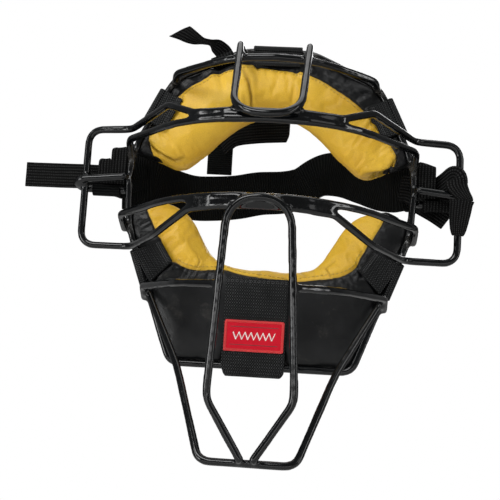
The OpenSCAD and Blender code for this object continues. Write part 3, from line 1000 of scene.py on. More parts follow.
@dataclass
class Stitches:
    """Rows of stitches, each a copy of one small rounded rod.

    Attributes:
        name: The piece's name.
        length: A stitch's length in millimetres.
        radius: Its half thickness in millimetres.
        flatness: How thick it is off the surface, as a share of its width.
        blunt: The power that rounds its ends off.
        places: The middle, the direction and the surface's normal of each stitch.
    """

    name: str
    length: float = 1.9
    radius: float = 0.28
    flatness: float = 0.8
    blunt: float = 0.7
    places: list[tuple[Vector, Vector, Vector]] = field(default_factory=list)

    def add(self, middle: Vector, along: Vector, normal: Vector) -> None:
        """Adds a stitch.

        Args:
            middle: Its middle in metres.
            along: Its direction.
            normal: The direction off the surface that it lies on.
        """
        self.places.append((middle, along.normalized(), normal.normalized()))

    def on_strap(self, strap: Strap, distance: float, across: float, lift: float) -> None:
        """Adds a stitch across the front of a strap.

        Args:
            strap: The strap.
            distance: The stitch's distance along it in millimetres.
            across: Its place across it, from -1 to 1.
            lift: Its height off the strap's middle surface in millimetres.
        """
        point, _, wide, off = strap.at(distance, across)
        front = off if off.y < 0 else -off
        self.add(point + front * lift * MM, wide, front)

    def run(self, points: Sequence[Vector], normals: Sequence[Vector], pitch: float) -> None:
        """Adds stitches along a line of points.

        Args:
            points: The line's points in metres.
            normals: The surface's normal at each point.
            pitch: The spacing of the stitches in millimetres.
        """
        travelled = 0.0
        following = pitch * 0.5
        for k in range(len(points) - 1):
            step = (points[k + 1] - points[k]).length / MM
            while step > 0 and travelled + step >= following:
                share = (following - travelled) / step
                self.add(points[k].lerp(points[k + 1], share), points[k + 1] - points[k], normals[k])
                following += pitch
            travelled += step

    def build(self, finish: Finish) -> Piece:
        """Models one stitch and copies it to every place.

        Args:
            finish: The thread's material.

        Returns:
            The stitches as one piece.
        """
        deselect()
        bpy.ops.mesh.primitive_uv_sphere_add(segments=6, ring_count=5, radius=1.0)
        model = bpy.context.object
        corners = [vertex.co.copy() for vertex in model.data.vertices]
        faces = [list(face.vertices) for face in model.data.polygons]
        bpy.data.objects.remove(model)
        bm = bmesh.new()
        for middle, along, normal in self.places:
            side = normal.cross(along).normalized()
            up = along.cross(side).normalized()
            made = []
            for corner in corners:
                reach = math.copysign(abs(corner.z) ** self.blunt, corner.z) * self.length / 2
                sideways = side * corner.x * self.radius
                spot = along * reach + sideways + up * corner.y * self.radius * self.flatness
                made.append(bm.verts.new(middle + spot * MM))
            for face in faces:
                bm.faces.new([made[k] for k in face])
        bmesh.ops.recalc_face_normals(bm, faces=bm.faces)
        piece = new_piece(self.name, bm)
        smooth_shade(piece)
        dress(piece, finish)
        return piece


# The cage


@dataclass
class DippedCage:
    """The welded cage after its dip: the wires melt into one skin, with webs where they meet.

    Attributes:
        nodes: The wires.
        swell: How far the wires grow before the skin is made, in millimetres.
        voxel: The skin's resolution in millimetres.
        uneven: How much the coating's thickness varies, in millimetres.
        runs: How long the coating's waves and ripples are, in millimetres.
        evening: How many rounds its shading is evened out.
        tips: The wires' cut ends, where a highlight is painted on the coating, in millimetres.
        glint_reach: How far round them the painted highlight reaches, in millimetres.
    """

    nodes: tuple[str, ...] = (
        "rim_wire", "crown_bar", "crown_guard", "brow_bar", "eye_bar", "ear_guard_wire", "strap_loop_left",
        "strap_loop_right", "nose_guard", "throat_guard", "chin_bar_left", "chin_bar_right")
    swell: float = 0.06
    voxel: float = 0.96
    uneven: float = 0.2
    runs: Flat = (23.0, 9.7)
    evening: int = 4
    tips: tuple[Point, ...] = (
        (23, -3, 106), (-23, -3, 106), (98, -2, 31), (-98, -2, 31), (98, 1, -20), (-98, 1, -20),
        (70, -3, 84), (-70, -3, 84))
    glint_reach: float = 5.0

    def build(self, frame: dict, finish: Finish) -> None:
        """Makes the skin.

        Args:
            frame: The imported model.
            finish: The coating's material.
        """
        copies = []
        for node in self.nodes:
            source = frame["nodes"][node]
            bm = bmesh.new()
            bm.from_mesh(source.data)
            bm.transform(source.matrix_world)
            bmesh.ops.remove_doubles(bm, verts=bm.verts, dist=1e-6)
            bm.normal_update()
            for vertex in bm.verts:
                vertex.co += vertex.normal * self.swell * MM
            copies.append(new_piece(node + "_grown", bm))
        skin = joined("dipped_cage", copies)
        finish_modifier(skin, "REMESH", mode="VOXEL", voxel_size=self.voxel * MM, adaptivity=0.0)
        finish_modifier(skin, "SMOOTH", factor=0.5, iterations=3)
        finish_modifier(skin, "CORRECTIVE_SMOOTH", factor=0.5, iterations=15, smooth_type="LENGTH_WEIGHTED",
                        use_only_smooth=True)
        self.run_coating(skin)
        smooth_shade(skin)
        even_normals(skin, self.evening)
        dress(skin, finish)
        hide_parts(*self.nodes)
        settle([skin], Body.CAGE)

    def run_coating(self, skin: Piece) -> None:
        """Varies the coating's thickness and marks the cut ends where a highlight is painted.

        Args:
            skin: The dipped cage.
        """
        mesh = skin.data
        normals = [vertex.normal.copy() for vertex in mesh.vertices]
        # Painted highlight: this layer lightens the coating round the wires' cut ends.
        glint_mask = mesh.attributes.new("TipGlint", "FLOAT", "POINT")
        spots = [Vector(tip) * MM for tip in self.tips]
        waves, ripples = self.runs
        for vertex, normal in zip(mesh.vertices, normals):
            place = vertex.co
            slow = noise.noise(place / (waves * MM)) + 0.3 * noise.noise(place / (ripples * MM))
            near = min((place - spot).length for spot in spots)
            glint_mask.data[vertex.index].value = bell(near, self.glint_reach * MM)
            vertex.co = place + normal * self.uneven * slow * MM


# The pads


RIM_CORNERS: tuple[Point, ...] = (
    (24.0, 110.0, 25.0), (71.0, 88.5, 25.0), (99.0, 30.0, 60.0), (96.0, -16.0, 60.0), (61.0, -109.0, 9.0))
TAB_SPOTS: tuple[Point, ...] = (
    (0.0, 110.0, 17.0), (-38.0, 103.6, 9.5), (82.3, 67.0, 13.0), (-82.3, 67.0, 13.0),
    (84.7, -46.0, 13.0), (-84.7, -46.0, 13.0), (-4.5, -109.0, 21.0))
TAB_MARGIN = 3.1
FARTHEST_REACH = 14.0
REACH_STEP = 0.2
WIDE_POWER = 0.75
DEEP_POWER = 0.62
LEAST_HALF = 0.6
LEAST_FULLNESS = 0.12
STUFFING_FRAMES = 20
STUFFING: dict[str, object] = {
    "quality": 5, "mass": 0.004, "tension_stiffness": 4, "compression_stiffness": 4, "shear_stiffness": 2,
    "bending_stiffness": 0.05, "shrink_min": -0.05, "use_pressure": True, "uniform_pressure_force": 40.0,
    "vertex_group_mass": "held"}


def rim_line() -> list[Flat]:
    """The middle line of the rim wire, with its bends.

    Returns:
        The line's points in millimetres, closed.
    """
    corners = list(RIM_CORNERS) + [(-x, z, r) for x, z, r in reversed(RIM_CORNERS)]
    line = []
    count = len(corners)
    for k, (x, z, radius) in enumerate(corners):
        here = Vector((x, z))
        coming = (here - Vector(corners[k - 1][:2])).normalized()
        going = (Vector(corners[(k + 1) % count][:2]) - here).normalized()
        turn = coming.angle(going)
        trim = radius * math.tan(turn / 2)
        start, end = here - coming * trim, here + going * trim
        for j in range(7):
            f = j / 6
            spot = start * (1 - f) ** 2 + here * 2 * f * (1 - f) + end * f ** 2
            line.append((spot.x, spot.y))
    return line + line[:1]


def inside_by(x: float, z: float, rim: Sequence[Flat]) -> float:
    """How far a point lies inside the rim's middle line, which runs clockwise.

    Args:
        x: The point's X in millimetres.
        z: Its Z.
        rim: The rim's middle line.

    Returns:
        The distance, negative outside.
    """
    far, side, _ = distance_to_path(x, z, rim)
    return -far * side


@dataclass(frozen=True)
class Crease:
    """A crease in a pad's front, with a fold beside it.

    Attributes:
        path: Its run in the rim's plane in millimetres.
        depth: Its depth.
        width: Its width.
        fold: The height of the fold.
    """

    path: Sequence[Flat]
    depth: float
    width: float
    fold: float

    def press(self, x: float, z: float) -> tuple[float, Vector, float]:
        """What the crease does to a point of the pad's front.

        Args:
            x: The point's X in millimetres.
            z: Its Z.

        Returns:
            How far it rises and how it is drawn sideways, in millimetres, and how strongly painted shade
            darkens the crease there.
        """
        far, side, share = distance_to_path(x, z, self.path)
        if far > self.width * 8:
            return 0.0, Vector(), 0.0
        # It runs out towards both ends, but not quite to nothing
        fade = math.sin(math.pi * held(0.08 + 0.84 * share))
        rise = -self.depth * bell(far, self.width) * fade
        if side > 0:
            rise += self.fold * bell(far - self.width * 1.8, self.width * 2.2) * fade
        near_x, near_z = on_path(self.path, share)
        pinch = Vector((near_x - x, 0.0, near_z - z)) * 0.5 * bell(far, self.width * 2.6) * fade
        # The last value is the strength of the painted shade in the crease.
        return rise, pinch, bell(far, self.width * 1.3) * fade * min(1.0, self.depth / 2.0)


@dataclass
class Pad:
    """A stuffed pad: a leather face sewn to a vinyl back along two seams.

    Attributes:
        name: The piece's name.
        nodes: The CAD solids that it stands for.
        half: Its right half, as rows of inner edge, outer edge and fullness, in millimetres.
        seam: The front seam, in the plane of the rim, in millimetres.
        creases: Creases in its front.
        dents: Soft dents in its front, each a place, a depth and a radius.
        stitched: The stretches of the front seam whose thread shows, as shares of its length.
        front: How far its front stands before the rim's plane in millimetres.
        back: How far its rear stands behind it in millimetres.
        seam_depth: How deep its seams are drawn in, in millimetres.
        shrink: How much smaller it starts than its final size, in millimetres.
        rows: How many rows of faces it has.
        leather_columns: How many faces its leather has round the pad.
        vinyl_columns: How many faces its vinyl has round the pad.
        rear_seam: The angle of the rear seam in degrees.
        nudges: Where its edges stray from its plan, each a place, a move and a radius.
        rim_margin: How far inside the rim wire's middle line its outer edge stays, in millimetres.
        wire_reach: The radius that the rim wire presses clear in the pad, in millimetres.
        reach_from: The fullness from which a row's outer edge is carried out to the rim.
        spread: The share of its sideways swelling that the pad keeps.
        vinyl_give: How far the stuffing may move its vinyl, in millimetres.
        leather_give: How far it may move its leather at the seams, and how much further in the middle.
        lumps: Its soft unevenness, each a height and a length in millimetres.
        plain_ends: The share of its length at each end that is vinyl all round.
    """

    name: str
    nodes: tuple[str, ...]
    half: list[PadRow]
    seam: list[Flat]
    creases: list[Crease]
    dents: list[tuple[Flat, float, float]]
    stitched: list[tuple[float, float]]
    front: float = 5.0
    back: float = 25.0
    shrink: float = 1.3
    seam_depth: float = 0.9
    rows: int = 132
    leather_columns: int = 44
    vinyl_columns: int = 28
    rear_seam: float = 202.5
    nudges: list[tuple[Flat, Flat, float]] = field(default_factory=list)
    rim_margin: float = -2.6
    wire_reach: float = 3.0
    reach_from: float = 0.62
    spread: float = 0.3
    vinyl_give: float = 1.1
    leather_give: Flat = (1.0, 4.5)
    lumps: tuple[Flat, ...] = ((0.35, 16.0), (0.12, 5.0))
    plain_ends: float = 0.056

    @property
    def around(self) -> int:
        """How many vertices a row has."""
        return self.leather_columns + self.vinyl_columns

    def whole(self) -> list[PadRow]:
        """Both halves of the pad, from the wearer's right end to the left one."""
        mirrored = [(-r[0], r[1], -r[2], r[3], r[4]) for r in reversed(self.half)]
        return mirrored + self.half[1:]

    def section(self, row: Sequence[float], degrees: float) -> Vector:
        """A point of the pad's section.

        Args:
            row: The row of inner edge, outer edge and fullness.
            degrees: The angle: 0 at the inner edge, 90 at the front, 180 at the outer edge.

        Returns:
            The point in metres.
        """
        ix, iz, ox, oz, full = row
        half = math.hypot(ox - ix, oz - iz) / 2
        dx, dz = (ix - ox) / (2 * half), (iz - oz) / (2 * half)
        c, s = math.cos(math.radians(degrees)), math.sin(math.radians(degrees))
        wide = max(LEAST_HALF, half - self.shrink) * math.copysign(abs(c) ** WIDE_POWER, c)
        thick = (self.front + self.back) / 2 * full - self.shrink
        deep = max(LEAST_HALF, thick) * math.copysign(abs(s) ** DEEP_POWER, s)
        y = (self.back - self.front) / 2 - deep
        return Vector(((ix + ox) / 2 + dx * wide, y, (iz + oz) / 2 + dz * wide)) * MM

    def fitted(self, row: Sequence[float], rim: Sequence[Flat]) -> list[float]:
        """Carries a row's outer edge out to the rim wire, except at the webbing that wraps the wire.

        Args:
            row: The row.
            rim: The rim's middle line.

        Returns:
            The row with its outer edge moved.
        """
        ix, iz, ox, oz, full = row
        for (x, z), move, radius in self.nudges:
            pull = bell(math.hypot(ix - x, iz - z), radius)
            ix, iz = ix + move[0] * pull, iz + move[1] * pull
            pull = bell(math.hypot(ox - x, oz - z), radius)
            ox, oz = ox + move[0] * pull, oz + move[1] * pull
        share = held((full - self.reach_from) / 0.12)
        long = math.hypot(ox - ix, oz - iz)
        dx, dz = (ox - ix) / long, (oz - iz) / long
        snug = 0.0
        for x, z, half in TAB_SPOTS:
            snug = max(snug, held((half + 1.0 - math.hypot(ox - x, oz - z)) / 3.0))
        margin = self.rim_margin + (TAB_MARGIN - self.rim_margin) * snug
        reach = 0.0
        while reach < FARTHEST_REACH and inside_by(ox + dx * reach, oz + dz * reach, rim) > margin:
            reach += REACH_STEP
        reach *= share
        return [ix, iz, ox + dx * reach, oz + dz * reach, full]

    def seam_angle(self, row: Sequence[float]) -> float:
        """The angle at which a row meets the front seam.

        Args:
            row: The row.

        Returns:
            The angle in degrees.
        """
        ix, iz, ox, oz = row[:4]
        best = (1e9, 0.8)
        for k in range(121):
            share = 0.04 + 0.92 * k / 120
            x, z = ix + (ox - ix) * share, iz + (oz - iz) * share
            far = distance_to_path(x, z, self.seam)[0]
            if far < best[0]:
                best = (far, share)
        reach = 1 - 2 * best[1]
        cosine = math.copysign(abs(reach) ** (1 / WIDE_POWER), reach)
        return math.degrees(math.acos(max(-1.0, min(1.0, cosine))))

    def stretch(self, row: Sequence[float], start: float, end: float, count: int) -> list[Vector]:
        """Evenly spaced points of a section from one angle to another, without the last.

        Args:
            row: The row.
            start: The first angle in degrees.
            end: The last angle in degrees.
            count: How many points there are.

        Returns:
            The points.
        """
        fine = [self.section(row, start + (end - start) * k / 90) for k in range(91)]
        lengths = lengths_along(fine)
        points = []
        k = 0
        for j in range(count):
            wanted = lengths[-1] * j / count
            while k < 89 and lengths[k + 1] < wanted:
                k += 1
            share = (wanted - lengths[k]) / max(1e-9, lengths[k + 1] - lengths[k])
            points.append(fine[k].lerp(fine[k + 1], share))
        return points

    def shell(self) -> Piece:
        """Makes the closed shell of the pad.

        Returns:
            The shell, with its vertices in rows round the pad.
        """
        whole = self.whole()
        rim = rim_line()
        last = len(whole) - 1
        rows = [self.fitted(catmull(whole, last * k / self.rows), rim) for k in range(self.rows + 1)]
        angles = [self.seam_angle(row) for row in rows]
        for _ in range(2):
            inner = [(a + 2 * b + c) / 4 for a, b, c in zip(angles, angles[1:], angles[2:])]
            angles = [angles[0], *inner, angles[-1]]
        rings = []
        for row, angle in zip(rows, angles):
            row[4] = max(LEAST_FULLNESS, row[4])
            leather = self.stretch(row, self.rear_seam, 360 + angle, self.leather_columns)
            vinyl = self.stretch(row, 360 + angle, 360 + self.rear_seam, self.vinyl_columns)
            rings.append(leather + vinyl)
        return self.skin(rings, [sum(ring, Vector()) / self.around for ring in (rings[0], rings[-1])])

    def is_seam(self, column: int) -> bool:
        """Says whether a column of vertices lies on a seam."""
        return column in (0, self.leather_columns)

    def freedom(self, index: int) -> float:
        """How far a vertex may move in the simulation.

        Args:
            index: The vertex's number.

        Returns:
            The distance in millimetres.
        """
        column = index % self.around
        if column > self.leather_columns:
            return self.vinyl_give
        edge = min(column, self.leather_columns - column) / (self.leather_columns / 2)
        least, more = self.leather_give
        return least + more * min(1.0, edge * 2.2)

    def inflate(self, piece: Piece) -> None:
        """Fills the pad by a cloth simulation that holds its seams.

        Args:
            piece: The pad's shell.
        """
        start = [vertex.co.copy() for vertex in piece.data.vertices]
        seams = piece.vertex_groups.new(name="held")
        seams.add([index for index in range(len(start)) if self.is_seam(index % self.around)], 1.0, "REPLACE")
        make_active(piece)
        cloth = piece.modifiers.new("stuffing", "CLOTH")
        for name, value in STUFFING.items():
            setattr(cloth.settings, name, value)
        cloth.settings.effector_weights.gravity = 0.0
        cloth.collision_settings.use_collision = False
        scene = bpy.context.scene
        for number in range(1, STUFFING_FRAMES + 1):
            scene.frame_set(number)
        bpy.ops.object.modifier_apply(modifier=cloth.name)
        scene.frame_set(1)
        moves = []
        for index, vertex in enumerate(piece.data.vertices):
            shift = vertex.co - start[index]
            moves.append(shift.length)
            shift = Vector((shift.x * self.spread, shift.y, shift.z * self.spread))
            vertex.co = start[index] + shift
            most = self.freedom(index) * MM
            if shift.length > most:
                vertex.co = start[index] + shift.normalized() * most
        moves.sort()
        LOG.info("%s moved %.1f mm at its middle vertex and %.1f mm at most", piece.name,
                 moves[len(moves) // 2] / MM, moves[-1] / MM)

    def refined(self, piece: Piece) -> Piece:
        """Rebuilds the pad with twice the rows and columns, on a smooth curve through the old ones.

        Args:
            piece: The filled pad.

        Returns:
            The finer pad, which takes the old one's name.
        """
        around = self.around
        places = [vertex.co.copy() for vertex in piece.data.vertices]
        bpy.data.objects.remove(piece)

        def halfway(a: Vector, b: Vector, c: Vector, d: Vector) -> Vector:
            """The curve's point between b and c."""
            return (9 * (b + c) - a - d) / 16

        coarse = [places[k * around:(k + 1) * around] for k in range(self.rows + 1)]
        wide = []
        for ring in coarse:
            finer = []
            for j, place in enumerate(ring):
                finer.append(place)
                finer.append(halfway(ring[j - 1], place, ring[(j + 1) % around], ring[(j + 2) % around]))
            wide.append(finer)
        rings = []
        for k in range(self.rows):
            rings.append(wide[k])
            before, after = wide[max(0, k - 1)], wide[min(self.rows, k + 2)]
            rings.append([halfway(a, b, c, d) for a, b, c, d in zip(before, wide[k], wide[k + 1], after)])
        rings.append(wide[-1])
        self.rows *= 2
        self.leather_columns *= 2
        self.vinyl_columns *= 2
        return self.skin(rings, places[-2:])

    def skin(self, rings: Sequence[Sequence[Vector]], poles: Sequence[Vector]) -> Piece:
        """Makes the pad of rows of points, closed by a point at each end.

        Args:
            rings: The rows.
            poles: The points at the ends.

        Returns:
            The pad, with leather as its material 0 and vinyl as 1.
        """
        bm = bmesh.new()
        grid = [[bm.verts.new(place) for place in ring] for ring in rings]
        last = len(grid) - 1
        for k, (lower, upper) in enumerate(zip(grid, grid[1:])):
            plain = min(k + 0.5, last - k - 0.5) / last < self.plain_ends
            for j in range(self.around):
                following = (j + 1) % self.around
                face = bm.faces.new((lower[j], lower[following], upper[following], upper[j]))
                face.material_index = 0 if j < self.leather_columns and not plain else 1
        for ring, pole in zip((grid[0], grid[-1]), poles):
            middle = bm.verts.new(pole)
            for j, vertex in enumerate(ring):
                bm.faces.new((vertex, ring[(j + 1) % self.around], middle)).material_index = 1
        bmesh.ops.recalc_face_normals(bm, faces=bm.faces)
        return new_piece(self.name, bm)

    def press_wire(self, piece: Piece) -> None:
        """Presses the groove of the rim wire into the pad's edge.

        Args:
            piece: The filled pad.
        """
        rim = rim_line()
        for vertex in piece.data.vertices:
            x, y, z = (value / MM for value in vertex.co)
            if abs(y) > self.wire_reach:
                continue
            far, side, share = distance_to_path(x, z, rim)
            inward = -far * side
            if inward > self.wire_reach:
                continue
            if math.hypot(inward, y) >= self.wire_reach and y > -0.5:
                continue
            angle = math.pi / 2 if inward < 0 else math.atan2(y, inward)
            line_x, line_z = on_path(rim, share)
            if far > 1e-6:
                out_x, out_z = (x - line_x) / far * -side, (z - line_z) / far * -side
            else:
                out_x, out_z = -line_x / math.hypot(line_x, line_z), -line_z / math.hypot(line_x, line_z)
            target_in, target_y = self.wire_reach * math.cos(angle), self.wire_reach * math.sin(angle)
            vertex.co = Vector((line_x + out_x * target_in, target_y, line_z + out_z * target_in)) * MM

    def work_surface(self, piece: Piece) -> None:
        """Pulls the seams in, presses the creases and dents into the front, and marks where painted shade
        darkens the seams and creases.

        Args:
            piece: The filled pad.
        """
        mesh = piece.data
        around = self.around
        on_rows = around * (self.rows + 1)
        normals = [vertex.normal.copy() for vertex in mesh.vertices]
        # Painted shade: this layer darkens the leather and vinyl along the seams and creases.
        crease_shade_layer = mesh.attributes.new("CreaseShade", "FLOAT", "POINT")
        moved = []
        for index, (vertex, normal) in enumerate(zip(mesh.vertices, normals)):
            column = index % around
            # deep is how strongly painted shade darkens the colour at this vertex.
            height, deep = 0.0, 0.0
            if self.is_seam(column) and index < on_rows:
                height, deep = -self.seam_depth, 0.7
            elif self.is_seam((column + 1) % around) or self.is_seam((column - 1) % around):
                height = -self.seam_depth * 0.35
            height += sum(high * noise.noise(vertex.co / (long * MM)) for high, long in self.lumps)
            pinch = Vector()
            if normal.y < 0.1:
                x, z = vertex.co.x / MM, vertex.co.z / MM
                for crease in self.creases:
                    rise, pull, dark = crease.press(x, z)
                    height += rise
                    pinch += pull
                    deep = max(deep, dark)
                for (px, pz), depth, radius in self.dents:
                    height -= depth * bell(math.hypot(x - px, z - pz), radius)
            moved.append(vertex.co + (normal * height + pinch) * MM)
            crease_shade_layer.data[index].value = deep
        for vertex, place in zip(mesh.vertices, moved):
            vertex.co = place

    def stitches(self, piece: Piece, thread: Finish) -> Piece:
        """Sews the leather's edge.

        Args:
            piece: The finished pad.
            thread: The thread's material.

        Returns:
            The stitches.
        """
        sewing = Stitches(self.name + "_stitches", length=2.2, radius=0.46)
        verts = piece.data.vertices
        column = self.leather_columns - 2
        for low, high in self.stitched:
            points = []
            normals = []
            for k in range(round(self.rows * low), round(self.rows * high) + 1):
                near, far = verts[k * self.around + column], verts[k * self.around + column - 1]
                points.append(near.co.lerp(far.co, 0.25) + near.normal * 0.1 * MM)
                normals.append(near.normal.copy())
            sewing.run(points, normals, 3.0)
        return sewing.build(thread)

    def build(self, leather: Finish, vinyl: Finish, thread: Finish) -> None:
        """Makes the pad and its stitches.

        Args:
            leather: The leather's material.
            vinyl: The vinyl's material.
            thread: The thread's material.
        """
        pad = self.shell()
        self.inflate(pad)
        finish_modifier(pad, "SMOOTH", factor=0.4, iterations=1)
        pad = self.refined(pad)
        self.work_surface(pad)
        self.press_wire(pad)
        sewn = self.stitches(pad, thread)
        smooth_shade(pad)
        dress(pad, leather, vinyl)
        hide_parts(*self.nodes)
        settle([pad, sewn], Body.CAGE)


def upper_pad() -> Pad:
    """The forehead pad.

    Returns:
        The pad.
    """
    return Pad(
        name="upper_pad",
        nodes=("upper_pad_foam", "upper_pad_face", "upper_pad_backing"),
        half=[
            (0, 62.9, 0, 106.9, 1), (12, 61.9, 16, 106.9, 1), (24, 55.9, 34, 101.8, 1),
            (35, 46.9, 52, 93.1, 1), (44, 37.9, 68, 81.5, 1), (52, 30.9, 77.9, 66, 0.98),
            (59, 25.9, 84.4, 52, 0.95), (66, 24.6, 90, 43, 0.92), (72, 26, 91, 37, 0.82),
            (78, 28.6, 91, 33, 0.66), (83, 31.5, 90, 32, 0.3)],
        seam=[
            (-79, 28), (-83.6, 33.8), (-86.3, 40.3), (-87, 47), (-81.2, 58.4), (-63.2, 81.4), (-48, 91.6),
            (-36.1, 97.4), (-24, 100.8), (-4.9, 98.8), (17, 96.2), (31.6, 91.4), (55, 76.6), (76.4, 55.6),
            (81.4, 47), (84.8, 41.4), (85.6, 37), (84.4, 32), (79, 27)],
        creases=[
            Crease([(-25.5, 99.5), (-18.9, 86.9), (-16.2, 76), (-15.0, 60)], 2.9, 1.1, 1.5),
            Crease([(-88.5, 43.5), (-80.8, 36.4), (-73.9, 32), (-66.7, 29.4), (-60.5, 31.6)], 2.6, 1.2, 1.5),
            Crease([(64, 26.5), (74.6, 28.2), (81, 31), (85.5, 39)], 2.0, 1.2, 1.1)],
        dents=[((33.4, 81), 1.0, 4.0), ((-50, 60), 0.7, 9.0), ((52, 52), 0.8, 8.0)],
        stitched=[(0.13, 0.90)],
        nudges=[((-80, 22), (1.5, 3.5), 14.0), ((82, 22), (-2.0, 2.5), 14.0)])


def lower_pad() -> Pad:
    """The chin pad.

    Returns:
        The pad.
    """
    return Pad(
        name="lower_pad",
        nodes=("lower_pad_foam", "lower_pad_face", "lower_pad_backing"),
        half=[
            (0, -42.4, 0, -105.9, 1), (16, -41.7, 20, -105.9, 1), (30, -40.3, 42, -105.4, 1),
            (37.2, -34, 57, -98.9, 1), (41.4, -27, 66.8, -84, 1), (46.2, -18.9, 75.1, -62, 1),
            (51.2, -10.8, 82.1, -42, 0.98), (57.2, -4.6, 87.5, -26, 0.95), (64.6, -0.4, 91.5, -15, 0.88),
            (73, 1.5, 92, -7, 0.74), (80, 2.5, 90, -2, 0.3)],
        seam=[
            (-86.5, 1), (-83.1, -7.7), (-77.8, -17.9), (-74.5, -24.1), (-69.6, -33.3), (-64, -40.5),
            (-54, -45), (-46, -45.9), (-36, -44.2), (-26.3, -42.4), (-17, -45.4), (-5, -47), (15.9, -49.4),
            (34, -47), (50, -45.4), (59.5, -41), (66.5, -26.5), (74.5, -13), (81, 2)],
        creases=[
            Crease([(-47, -36), (-45, -41), (-46, -45)], 1.0, 0.8, 0.5),
            Crease([(47, -34), (41, -40), (45, -47)], 1.0, 0.8, 0.5),
            Crease([(-4, -43), (-3.5, -49)], 0.8, 0.8, 0.3),
            Crease([(22, -42), (29, -46)], 0.8, 0.8, 0.4),
            Crease([(-61, -20), (-50, -31), (-38, -43)], 0.35, 2.2, 0.2)],
        dents=[((-58, -34), 0.25, 8), ((60, -22), 0.6, 6), ((20, -75), 0.8, 18), ((-45, -70), 0.8, 14)],
        stitched=[(0.25, 0.80)],
        nudges=[((-31, -40), (0.0, 3.4), 13.0), ((0, -43), (0.0, 2.2), 14.0), ((30, -41), (0.0, 1.6), 12.0)])


# Webbing on the cage


FORWARD = Vector((0, -1, 0))
WRAP_ANGLES = range(180, -1, -20)
REAR_RUN: list[Flat] = [(6.2, -2.15), (10.0, -2.15), (15.0, -2.15)]


@dataclass
class RimTab:
    """A webbing tab that wraps the rim and holds a pad, with a flap that peels open.

    Attributes:
        name: The wrap's node.
        flap: The flap's node.
        body: The body that the flap rides on.
        place: The tab's middle on the rim in millimetres.
        turn: How far its outward direction leans from straight up, in degrees.
        side: 1 on the positive X side, or -1.
        width: The wrap's width in millimetres.
        flap_length: The flap's length in millimetres.
        trim: How much narrower the flap is at its inner end, all off its lower edge.
        lean: How far the flap leans off the rim's plane in degrees.
        middle: The radius of the wrap's middle line round the wire in millimetres.
        outside: The distance of its outer face from the wire's middle.
        thickness: The webbing's thickness.
        seam_pitch: The spacing of the flap's stitches.
    """

    name: str
    flap: str
    body: Body
    place: Flat
    turn: float
    side: int
    width: float
    flap_length: float
    trim: float = 0.0
    lean: float = 7.0
    middle: float = 3.8
    outside: float = 4.55
    thickness: float = 1.5
    seam_pitch: float = 2.8

    def into_frame(self, across: float, back: float, out: float) -> Point:
        """Turns a point of the tab's own frame to the object's.

        Args:
            across: Its place along the rim.
            back: Its place behind the rim's plane.
            out: Its place away from the opening.

        Returns:
            The point.
        """
        a = math.radians(self.turn)
        x = across * math.cos(a) + out * math.sin(a) + self.place[0]
        z = -across * math.sin(a) + out * math.cos(a) + self.place[1]
        return (x * self.side, back, z)

    def direction(self) -> Point:
        """The direction of the tab's width in the object's frame."""
        a = math.radians(self.turn)
        return (math.cos(a) * self.side, 0.0, -math.sin(a))

    def route(self, plan: Iterable[Flat]) -> list[Station]:
        """Makes a route of points given as distances behind the rim and outwards.

        Args:
            plan: The points.

        Returns:
            The route.
        """
        return [(self.into_frame(0, back, out), self.direction()) for back, out in plan]

    def build(self, webbing: Finish, thread: Finish) -> None:
        """Makes the wrap, the flap and the flap's sewing.

        Args:
            webbing: The webbing's material.
            thread: The thread's material.
        """
        plan = arc(self.middle, WRAP_ANGLES) + [(self.middle, -1.0), (self.middle + 0.5, -1.9)] + REAR_RUN
        wrap = Strap(self.name, self.route(plan), self.width, self.thickness, step=0.9, columns=12, waver=0.0)
        wrapped = wrap.build(webbing)
        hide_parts(self.name)
        settle([wrapped], Body.CAGE)
        lean = math.radians(self.lean)
        inset = self.thickness / 2
        down: list[Station] = []
        for reach in (0.45, 3.0, 7.0, self.flap_length * 0.75, self.flap_length + 0.4):
            back = -self.outside + inset * math.cos(lean) - reach * math.sin(lean)
            out = -reach * math.cos(lean) - inset * math.sin(lean)
            across = -self.trim / 2 * reach / self.flap_length
            down.append((self.into_frame(across, back, out), self.direction()))
        flap = Strap(self.flap, down, self.width - 1, self.thickness, step=0.9, columns=12, waver=0.25)
        long = flap.length
        flap.taper = lambda d: 1.0 - self.trim / self.width * d / long
        peeled = flap.build(webbing)
        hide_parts(self.flap)
        sewing = Stitches(self.flap + "_stitches", length=2.2, radius=0.22)
        for row in (long - 2.2, long - 3.6):
            for k in range(round((self.width - 3) / self.seam_pitch)):
                across = -1 + 2 * (k + 0.8) * self.seam_pitch / self.width
                sewing.on_strap(flap, row, across, self.thickness / 2 + 0.02)
        settle([peeled, sewing.build(thread)], self.body)


def rim_tabs() -> list[RimTab]:
    """The five tabs.

    Returns:
        The tabs.
    """
    corners = [
        ("upper", (82.29, 67.0), math.degrees(math.atan2(58.5, 28.0)), 14.0, 0.0),
        ("lower", (84.7, -46.0), 90 + math.degrees(math.atan2(35.0, 93.0)), 20.0, 9.0)]
    tabs = [RimTab("top_tab", "top_tab_flap", Body.TOP_FLAP, (0.0, 110.0), 0.0, 1, 34.0, 10.6)]
    for level, place, turn, flap_length, trim in corners:
        for hand, side in (("left", -1), ("right", 1)):
            name, flap = f"{level}_{hand}_tab", f"{level}_{hand}_flap"
            tabs.append(RimTab(name, flap, Body(flap), place, turn, side, 26.0, flap_length, trim))
    return tabs


